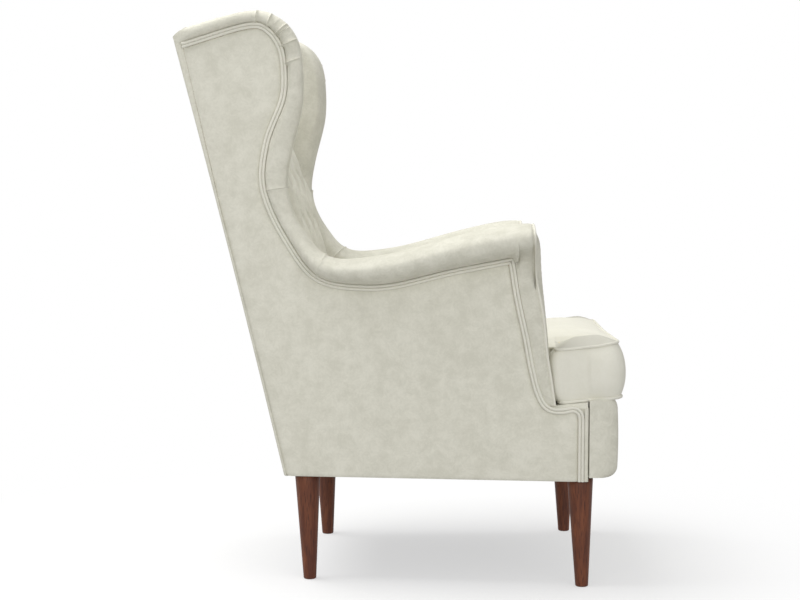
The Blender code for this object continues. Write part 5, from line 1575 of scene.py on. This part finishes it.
def crown_height(flat, edge, crown):
    """How far the cushion's top stands above its seam: its crown, its pressed ears, their crease."""
    half = abs(flat[:, 0])
    y = flat[:, 1]
    highest_y = -0.343
    fall_run = 0.62
    deepest_y = -0.300              # from here on the crease has its full depth
    crease_run = 0.090
    beyond = half - CREASE_REAR - CREASE_SPLAY * (-EAR_REAR - y)
    in_ear = (y < -EAR_REAR + 0.001) * 1.0
    inner = np.where(in_ear > 0.0, np.minimum(y - CUSHION_FRONT, 0.08), edge)
    rearward = ease((y - deepest_y + crease_run) / crease_run)
    plateau = crown * (1.0 - falloff(inner, reach=0.075, power=3.0))
    plateau = plateau * (1.0 - CROWN_FALL * ((y - highest_y) / fall_run) ** 2)
    plateau = plateau * (1.0 - EAR_FLAT * in_ear * ease((half - 0.10) / 0.17))
    lobe = lerp(LOBE_FRONT, LOBE_REAR, rearward ** 2)
    lobe = lobe * (1.0 - falloff(edge, reach=0.034, power=1.2))
    crease = in_ear * lerp(CREASE_SHALLOW, CREASE_DEEP, rearward) * bell(beyond, width=0.0050)
    crease = crease * ease(edge / 0.020)
    lift_run = 0.045
    lift = FRONT_LIFT * ease((CUSHION_FRONT + lift_run - y) / lift_run)
    lift = lift * np.clip((half - 0.06) / 0.20, 0.0, 1.0)
    return lerp(plateau, lobe, in_ear * ease((beyond + 0.006) / 0.010)) - crease + lift


def cushion_mesh(shrink, spacing, low, high, crown):
    """Flat places, heights, faces, and the numbers of the points on the two seams."""
    outline = cushion_outline(shrink, spacing)
    flat, faces, edge = fill(outline, spacing, rows=(0.0022, 0.0055, 0.010))
    faces = [list(face) for face in faces]
    if sum(signed_area(flat[face]) for face in faces) < 0.0:
        faces = [face[::-1] for face in faces]
    rim_edges = border_edges(faces)
    follow = dict(rim_edges)
    rim = [rim_edges[0][0]]
    while follow[rim[-1]] != rim[0]:
        rim.append(follow[rim[-1]])
    ring = flat[rim]
    top = cushion_place(flat, high + crown_height(flat, edge, crown))
    sag = EDGE_SAG * falloff(edge, reach=0.045, power=1.5)
    bottom = cushion_place(flat, low - sag)
    count = len(flat)
    vertices = [top, bottom]
    every = [tuple(face) for face in faces]
    every += [tuple(count + k for k in face[::-1]) for face in faces]
    before = ring - np.roll(ring, 1, axis=0)
    after = np.roll(ring, -1, axis=0) - ring
    outward = before / np.linalg.norm(before, axis=1)[:, None]
    outward = outward + after / np.linalg.norm(after, axis=1)[:, None]
    outward = np.stack([outward[:, 1], -outward[:, 0]], axis=-1)
    outward /= np.linalg.norm(outward, axis=1)[:, None]
    start = CUSHION_FRONT + CORNER_RADIUS
    end = -EAR_REAR - EAR_RADIUS
    puff = lerp(CUSHION_FRONT_PUFF, CUSHION_SIDE_PUFF, ease((ring[:, 1] - start) / (end - start)))
    behind = np.clip(outward[:, 1], 0.0, 1.0) * ease((abs(ring[:, 0]) - 0.200) / 0.020)
    behind *= ring[:, 1] < -EAR_REAR + 0.004
    puff = lerp(puff, EAR_PUFF, behind)
    seat = cushion_place(ring, np.zeros(len(ring)))[:, 2]
    rim_high = top[rim, 2] - seat
    rim_low = bottom[rim, 2] - seat
    levels = max(int(round((high - low) / spacing)), 4)
    number = 2 * count
    below = [count + k for k in rim]
    for level in range(1, levels):
        share = level / levels
        swell = 0.97 * puff * (1.0 - abs(2.0 * share - 1.0) ** lerp(2.3, 4.5, behind))
        vertices.append(cushion_place(ring + outward * swell[:, None],
                                      lerp(rim_low, rim_high, share)))
        current = list(range(number, number + len(rim)))
        every += ring_faces(below, current)
        below = current
        number += len(rim)
    every += ring_faces(below, rim)
    return np.vstack(vertices), every, rim, [count + k for k in rim], count


def fill_cushion(made, pinned):
    """Swells a cushion's cover with its filling, its seams held and each point's path limited."""
    start = np.array([v.co for v in made.data.vertices])
    group = made.vertex_groups.new(name="seams")
    group.add([int(k) for k in pinned], 1.0, "ADD")
    cloth = made.modifiers.new("filling", "CLOTH")
    last_frame = 20
    settings = cloth.settings
    settings.quality = 6
    settings.mass = 0.25
    settings.tension_stiffness = 18.0
    settings.compression_stiffness = 12.0
    settings.bending_stiffness = 0.8
    settings.use_pressure = True
    settings.uniform_pressure_force = sizes().pressure
    settings.effector_weights.gravity = 0.0
    settings.vertex_group_mass = "seams"
    cloth.collision_settings.use_collision = False
    cloth.point_cache.frame_start = 1
    cloth.point_cache.frame_end = last_frame
    scene = bpy.context.scene
    for number in range(1, last_frame + 1):
        scene.frame_set(number)
    evaluated = made.evaluated_get(bpy.context.evaluated_depsgraph_get())
    swollen = np.array([v.co for v in evaluated.data.vertices])
    made.modifiers.remove(cloth)
    made.vertex_groups.remove(group)
    scene.frame_set(1)
    moved = swollen - start
    size = np.linalg.norm(moved, axis=1)
    limit = sizes().cushion_give
    moved *= (limit * np.tanh(size / limit) / np.maximum(size, 1e-9))[:, None]
    return start + moved


def build_cushion():
    """Loose T-cushion: boxed cover with a crown, corded seams, a rear zip and a foam core."""
    crown = CUSHION_CROWN - 0.0040 - 0.3 * sizes().cushion_give
    vertices, faces, top_rim, low_rim, count = cushion_mesh(0.0, 0.0085, 0.0, CUSHION_THICKNESS,
                                                            crown)
    made = solid("cushion_cover_velvet", vertices, faces, ["cushion_velvet"], CUSHION)
    if len(made.data.vertices) != len(vertices):
        raise RuntimeError("the cushion's points were merged")
    shape = fill_cushion(made, top_rim + low_rim)
    lowest = seat_z(shape[:, 1]) - EDGE_SAG
    lowest[count:2 * count] = vertices[count:2 * count, 2]
    shape[:, 2] = np.maximum(shape[:, 2], lowest)
    made.data.vertices.foreach_set("co", shape.ravel())
    made.data.update()
    places = np.array([v.co for v in made.data.vertices])
    finer = made.modifiers.new("finer", "SUBSURF")
    finer.levels = 1
    finer.render_levels = 1
    wall = made.modifiers.new("cloth", "SOLIDIFY")
    wall.thickness = 0.0015
    wall.offset = -1.0
    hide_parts("cushion_cover")
    inset = 0.004
    vertices, faces, *_ = cushion_mesh(inset, 0.014, inset, CUSHION_THICKNESS - inset,
                                       crown - 0.002)
    core = solid("cushion_foam", vertices, faces, ["foam"], CUSHION)
    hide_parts("cushion_core")
    r = sizes().cushion_cord
    for label, rim, lift, size in (("top", top_rim, -0.3, r), ("bottom", low_rim, 1.0, 1.25 * r)):
        seam = places[rim]
        flat = seam[:, :2]
        out = beside(flat, -0.8 * r if signed_area(flat) > 0.0 else 0.8 * r, closed=True)
        path = np.column_stack([out, seam[:, 2] + lift * r])
        path = resample(np.vstack([path, path[:1]]), 0.005)[:-1]
        cord = piping("cushion_piping_" + label, [path], size, CUSHION, closed=True)
        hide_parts("cushion_welt_" + label)
    build_zip()


def on_boxing(x, y, height):
    """One place in the cushion's own flat frame, brought to the deck."""
    return cushion_place(np.array([(x, y)]), np.array([height]))[0]


def build_zip():
    """Zip in the middle of the cushion's rear boxing: two tapes, teeth and a slider."""
    outline = cushion_outline(0.0, 0.005)
    at_rear = outline[:, 1] > outline[:, 1].max() - 2.0 * SEAM_DRAW
    strip = outline[at_rear & (abs(outline[:, 0]) < ZIP_LENGTH / 2.0)]
    strip = strip[np.argsort(strip[:, 0])]
    middle = CUSHION_THICKNESS / 2.0
    out = CUSHION_SIDE_PUFF + 0.0004
    section = ((-0.011, 0.0), (-0.003, 0.0012), (0.003, 0.0012), (0.011, 0.0), (0.011, -0.0016),
               (-0.011, -0.0016))
    rings = [[on_boxing(x, y + out + depth, middle + height) for height, depth in section]
             for x, y in strip]
    tape = loft("cushion_zip_tape", rings, "zip_tape", CUSHION)
    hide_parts("cushion_zip")
    path = [on_boxing(x, y + out + 0.0016, middle) for x, y in strip]
    teeth = along_lines("cushion_zip_teeth", [path], teeth_tree(),
                        {"Pitch": 0.0030, "Tooth": (0.0016, 0.0050, 0.0016)}, "zinc_steel", CUSHION)
    bm = bmesh.new()
    bmesh.ops.create_cube(bm, size=1.0)
    place = Vector(on_boxing(strip[3, 0], strip[3, 1] + out + 0.0026, middle))
    for vertex in bm.verts:
        narrow = 0.6 if vertex.co.x > 0.0 else 1.0
        vertex.co = Vector((vertex.co.x * 0.010, vertex.co.y * 0.0030,
                            vertex.co.z * 0.0085 * narrow)) + place
    bmesh.ops.bevel(bm, geom=bm.edges[:], offset=0.0009, segments=3, affect="EDGES")
    mesh = bpy.data.meshes.new("cushion_zip_slider")
    bm.to_mesh(mesh)
    bm.free()
    mesh.shade_smooth()
    mesh.materials.append(finishes()["zinc_steel"])
    slider = linked("cushion_zip_slider", mesh)
    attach(slider, CUSHION)


def build_deck():
    """Seat deck on the springs: velvet where it shows in front, lining cloth further back."""
    rear = back_y(seat_z(0.0)) - BACK_THICKNESS - CUSHION_CLEARANCE + DECK_TUCK
    ear = -EAR_REAR + 0.0110
    inner = ROLL_WIDTH + GAP - 0.004
    plan = [(side_half(y, LEG_LENGTH) - inset, y) for y, inset in
            ((-BASE_FACE, DECK_INSET), (ear, DECK_INSET), (ear, inner), (rear, inner))]
    outline = np.array(plan + [(-x, y) for x, y in plan[::-1]])
    flat, faces, _ = fill(outline, spacing=0.012)
    level = seat_z(flat[:, 1], -GAP)
    roll = (EDGE_SAG + 0.0008) * ease((0.060 - to_line(flat, outline[1:])) / 0.043)
    seam = 0.0012 * bell(flat[:, 1] - VELVET_LIP, width=0.003)
    seam *= roll < 0.001
    top = np.column_stack([flat, level - roll - seam])
    bottom = np.column_stack([flat, level - DECK_THICKNESS])
    kinds = [0 if np.mean([flat[k, 1] for k in face]) < VELVET_LIP else 1 for face in faces]
    made = sheet_solid("seat_deck_cover", top, bottom, faces, ["velvet", "black_cloth"], CHAIR, kinds)
    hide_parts("seat_deck")
    both_sides(build_deck_skirt)


def build_dust_cover():
    """Black cambric under the base, cut back at the corners round the legs; its staples are not
    drawn.
    """
    low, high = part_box("dust_cover")
    z = low.z
    clear = 0.0282                  # of the legs' corner blocks
    inset = 0.0380 + clear
    margin = 0.010
    front = (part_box("leg_front_left")[0].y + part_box("leg_front_left")[1].y) / 2.0 + clear
    rear = (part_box("leg_rear_left")[0].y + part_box("leg_rear_left")[1].y) / 2.0 - clear
    half = [(side_half(y, z) - drawn, y) for y, drawn in
            ((low.y, inset), (front, inset), (front, margin), (rear, margin), (rear, inset),
             (high.y, inset))]
    outline = np.array(half + [(-x, y) for x, y in half[::-1]])
    flat, faces, edge = fill(outline, spacing=0.016)
    sag = 0.0006 * ease(edge / 0.08)
    bottom = np.column_stack([flat, z + 0.0008 - sag])
    top = np.column_stack([flat, z + 0.0013 - sag])
    made = sheet_solid("dust_cloth", bottom, top, faces, ["black_cloth"], CHAIR)
    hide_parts("dust_cover")


def build_leg(label):
    """Turned, tapered walnut leg with a softly rounded foot."""
    low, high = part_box("leg_" + label)
    x = (low.x + high.x) / 2.0
    y = high.y - LEG_TOP_RADIUS
    top = high.z
    chamfer = 0.0012
    foot = LEG_FOOT_RADIUS - LEG_FOOT_ROUND
    profile = [(0.0, foot)]
    for angle in np.linspace(0.0, pi / 2.0, 6)[1:]:
        profile.append((0.0030 - 0.0030 * cos(angle), foot + LEG_FOOT_ROUND * sin(angle)))
    for share in np.linspace(0.0, 1.0, 14)[1:]:
        profile.append((lerp(0.0030, top - chamfer, share),
                        lerp(LEG_FOOT_RADIUS, LEG_TOP_RADIUS, share)))
    profile.append((top, LEG_TOP_RADIUS - chamfer))
    angles = np.linspace(0.0, 2.0 * pi, 56, endpoint=False)
    rings = []
    for z, radius in profile:
        shift = -LEG_LEAN * (1.0 - z / top)
        rings.append(np.stack([x + radius * np.cos(angles), y + shift + radius * np.sin(angles),
                               np.full(len(angles), z)], axis=-1))
    made = loft("walnut_leg_" + label, rings, "walnut")
    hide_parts("leg_" + label)


def finish_frame():
    """Gives every piece of the frame that keeps its shape its real finish."""
    slots = {"rail": "beech", "corner_block": "beech", "back_post": "beech", "arm_stump": "beech",
             "wing_board": "plywood", "seat_spring": "spring_steel", "back_web": "webbing",
             "leg_bolt": "zinc_steel"}
    for name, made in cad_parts.items():
        for part, slot in slots.items():
            if part in name:
                for holder in made.material_slots:
                    holder.material = finishes()[slot]
                break


def looking(name, data, place, direction):
    """A camera or lamp at its place, turned to look along a direction."""
    made = linked(name, data)
    made.location = place
    made.rotation_euler = direction.to_track_quat("-Z", "Y").to_euler()
    return made


def seen_directly(tree):
    """1 for what the camera sees itself, in a mirror or through glass, and 0 for light on things."""
    rays = add_node(tree, "ShaderNodeLightPath").outputs
    seen = maths(tree, "MAXIMUM", rays["Is Camera Ray"], rays["Is Glossy Ray"])
    return maths(tree, "MAXIMUM", seen, rays["Is Transmission Ray"])


def build_stage():
    """Camera at the photographed angle, pale floor, white surroundings and soft studio light."""
    scene = bpy.context.scene
    scene.view_settings.view_transform = "Standard"
    data = bpy.data.cameras.new("camera")
    data.lens = CAMERA_LENS
    data.clip_end = 50.0
    aim = Vector((cos(CAMERA_DROP) * cos(CAMERA_TURN), cos(CAMERA_DROP) * sin(CAMERA_TURN),
                  -sin(CAMERA_DROP)))
    scene.camera = looking("camera", data, CAMERA_PLACE, aim)
    world = bpy.data.worlds.new("studio")
    scene.world = world
    world.use_nodes = True
    tree = world.node_tree
    tree.nodes.clear()
    light, white = (add_node(tree, "ShaderNodeBackground",
                             inputs={"Color": WHITE, "Strength": strength}).outputs[0]
                    for strength in (WORLD_LIGHT, 1.0))
    mixed = add_node(tree, "ShaderNodeMixShader", inputs={0: seen_directly(tree), 1: light, 2: white})
    add_node(tree, "ShaderNodeOutputWorld", inputs={"Surface": mixed.outputs[0]})
    for name, place, size, power in LAMPS:
        lamp = bpy.data.lights.new(name, "AREA")
        lamp.shape = "SQUARE"
        lamp.size = size
        lamp.energy = power
        looking(name, lamp, place, Vector(LAMP_AIM) - Vector(place))
    build_floor()


def build_floor():
    """Round pale floor under the chair that fades to the white of the surroundings."""
    bm = bmesh.new()
    bmesh.ops.create_circle(bm, cap_ends=True, segments=96, radius=FLOOR_RADIUS)
    mesh = bpy.data.meshes.new("floor")
    bm.to_mesh(mesh)
    bm.free()
    made, tree, shader, place = new_material("pale matt floor")
    out = next(node for node in tree.nodes if node.type == "OUTPUT_MATERIAL")
    give(tree, shader, {"Base Color": (*linear("#B4B4B4"), 1.0), "Roughness": 1.0,
                        "Specular IOR Level": 0.0})
    distance = vector_maths(tree, "LENGTH", place).outputs["Value"]
    seen = seen_directly(tree)
    amount = maths(tree, "MULTIPLY", seen, smooth_step(tree, distance, *FLOOR_FADE))
    white, pale = (add_node(tree, "ShaderNodeEmission",
                            inputs={"Color": WHITE, "Strength": strength}).outputs[0]
                   for strength in (1.0, maths(tree, "MULTIPLY", seen, FLOOR_GLOW)))
    lifted = add_node(tree, "ShaderNodeAddShader", inputs={0: shader.outputs[0], 1: pale})
    mixed = add_node(tree, "ShaderNodeMixShader",
                     inputs={0: amount, 1: lifted.outputs[0], 2: white})
    tree.links.new(mixed.outputs[0], out.inputs["Surface"])
    mesh.materials.append(made)
    linked("floor", mesh)


class ARMCHAIR_OT_stage(bpy.types.Operator):
    """Camera, floor, surroundings and lamps."""

    bl_idname = "armchair.stage"
    bl_label = "Studio"

    def execute(self, context):
        build_stage()
        return {"FINISHED"}


class ARMCHAIR_OT_frame(bpy.types.Operator):
    """Finishes of the beech frame, boards, springs, webs and bolts."""

    bl_idname = "armchair.frame"
    bl_label = "Frame finishes"

    def execute(self, context):
        finish_frame()
        return {"FINISHED"}


class ARMCHAIR_OT_side_covers(bpy.types.Operator):
    """Velvet covers of the two sides."""

    bl_idname = "armchair.side_covers"
    bl_label = "Side covers"

    def execute(self, context):
        both_sides(build_side_cover)
        return {"FINISHED"}


class ARMCHAIR_OT_side_piping(bpy.types.Operator):
    """Double piping round the side covers."""

    bl_idname = "armchair.side_piping"
    bl_label = "Double piping"

    def execute(self, context):
        both_sides(build_side_piping)
        return {"FINISHED"}


class ARMCHAIR_OT_back_cover(bpy.types.Operator):
    """Cover of the outer back."""

    bl_idname = "armchair.back_cover"
    bl_label = "Back cover"

    def execute(self, context):
        build_back_cover()
        return {"FINISHED"}


class ARMCHAIR_OT_wing_rolls(bpy.types.Operator):
    """Pleated rolls of the wings."""

    bl_idname = "armchair.wing_rolls"
    bl_label = "Wing rolls"

    def execute(self, context):
        both_sides(build_wing_roll)
        return {"FINISHED"}


class ARMCHAIR_OT_arms(bpy.types.Operator):
    """Padded arms."""

    bl_idname = "armchair.arms"
    bl_label = "Arms"

    def execute(self, context):
        both_sides(build_arm)
        return {"FINISHED"}


class ARMCHAIR_OT_facings(bpy.types.Operator):
    """Facings of the arms' fronts, with their cords."""

    bl_idname = "armchair.facings"
    bl_label = "Arm facings"

    def execute(self, context):
        both_sides(build_facing)
        return {"FINISHED"}


class ARMCHAIR_OT_border(bpy.types.Operator):
    """Padded front border."""

    bl_idname = "armchair.border"
    bl_label = "Front border"

    def execute(self, context):
        build_border()
        return {"FINISHED"}


class ARMCHAIR_OT_inside_back(bpy.types.Operator):
    """Tufted inside back."""

    bl_idname = "armchair.inside_back"
    bl_label = "Inside back"

    def execute(self, context):
        build_inside_back()
        return {"FINISHED"}


class ARMCHAIR_OT_deck(bpy.types.Operator):
    """Seat deck and the dust cover under the base."""

    bl_idname = "armchair.deck"
    bl_label = "Deck and dust cover"

    def execute(self, context):
        build_deck()
        build_dust_cover()
        return {"FINISHED"}


class ARMCHAIR_OT_cushion(bpy.types.Operator):
    """Loose T-cushion with its core, cords and zip."""

    bl_idname = "armchair.cushion"
    bl_label = "Seat cushion"

    def execute(self, context):
        build_cushion()
        return {"FINISHED"}


class ARMCHAIR_OT_legs(bpy.types.Operator):
    """Turned legs."""

    bl_idname = "armchair.legs"
    bl_label = "Legs"

    def execute(self, context):
        for row in ("front", "rear"):
            for label, _ in SIDES:
                build_leg(row + "_" + label)
        return {"FINISHED"}


OPERATORS = (ARMCHAIR_OT_stage, ARMCHAIR_OT_frame, ARMCHAIR_OT_side_covers, ARMCHAIR_OT_side_piping,
             ARMCHAIR_OT_back_cover, ARMCHAIR_OT_wing_rolls, ARMCHAIR_OT_arms, ARMCHAIR_OT_facings,
             ARMCHAIR_OT_border, ARMCHAIR_OT_inside_back, ARMCHAIR_OT_deck, ARMCHAIR_OT_cushion,
             ARMCHAIR_OT_legs)


class ARMCHAIR_PT_pieces(bpy.types.Panel):
    """Sizes, colours and pieces of the armchair."""

    bl_idname = "ARMCHAIR_PT_pieces"
    bl_label = "Armchair"
    bl_space_type = "VIEW_3D"
    bl_region_type = "UI"
    bl_category = "Armchair"

    def draw(self, context):
        for group in (context.scene.armchair_sizes, context.scene.armchair_colours):
            for name in group.__annotations__:
                self.layout.prop(group, name)
        for operator in OPERATORS:
            self.layout.operator(operator.bl_idname)


CLASSES = (ArmchairSizes, ArmchairColours, *OPERATORS, ARMCHAIR_PT_pieces)


def register():
    for each in CLASSES:
        bpy.utils.register_class(each)
    bpy.types.Scene.armchair_sizes = bpy.props.PointerProperty(type=ArmchairSizes)
    bpy.types.Scene.armchair_colours = bpy.props.PointerProperty(type=ArmchairColours)


def unregister():
    del bpy.types.Scene.armchair_colours
    del bpy.types.Scene.armchair_sizes
    for each in reversed(CLASSES):
        bpy.utils.unregister_class(each)


def main():
    register()
    for operator in OPERATORS:
        group, name = operator.bl_idname.split(".")
        getattr(getattr(bpy.ops, group), name)()


if __name__ == "__main__":
    main()
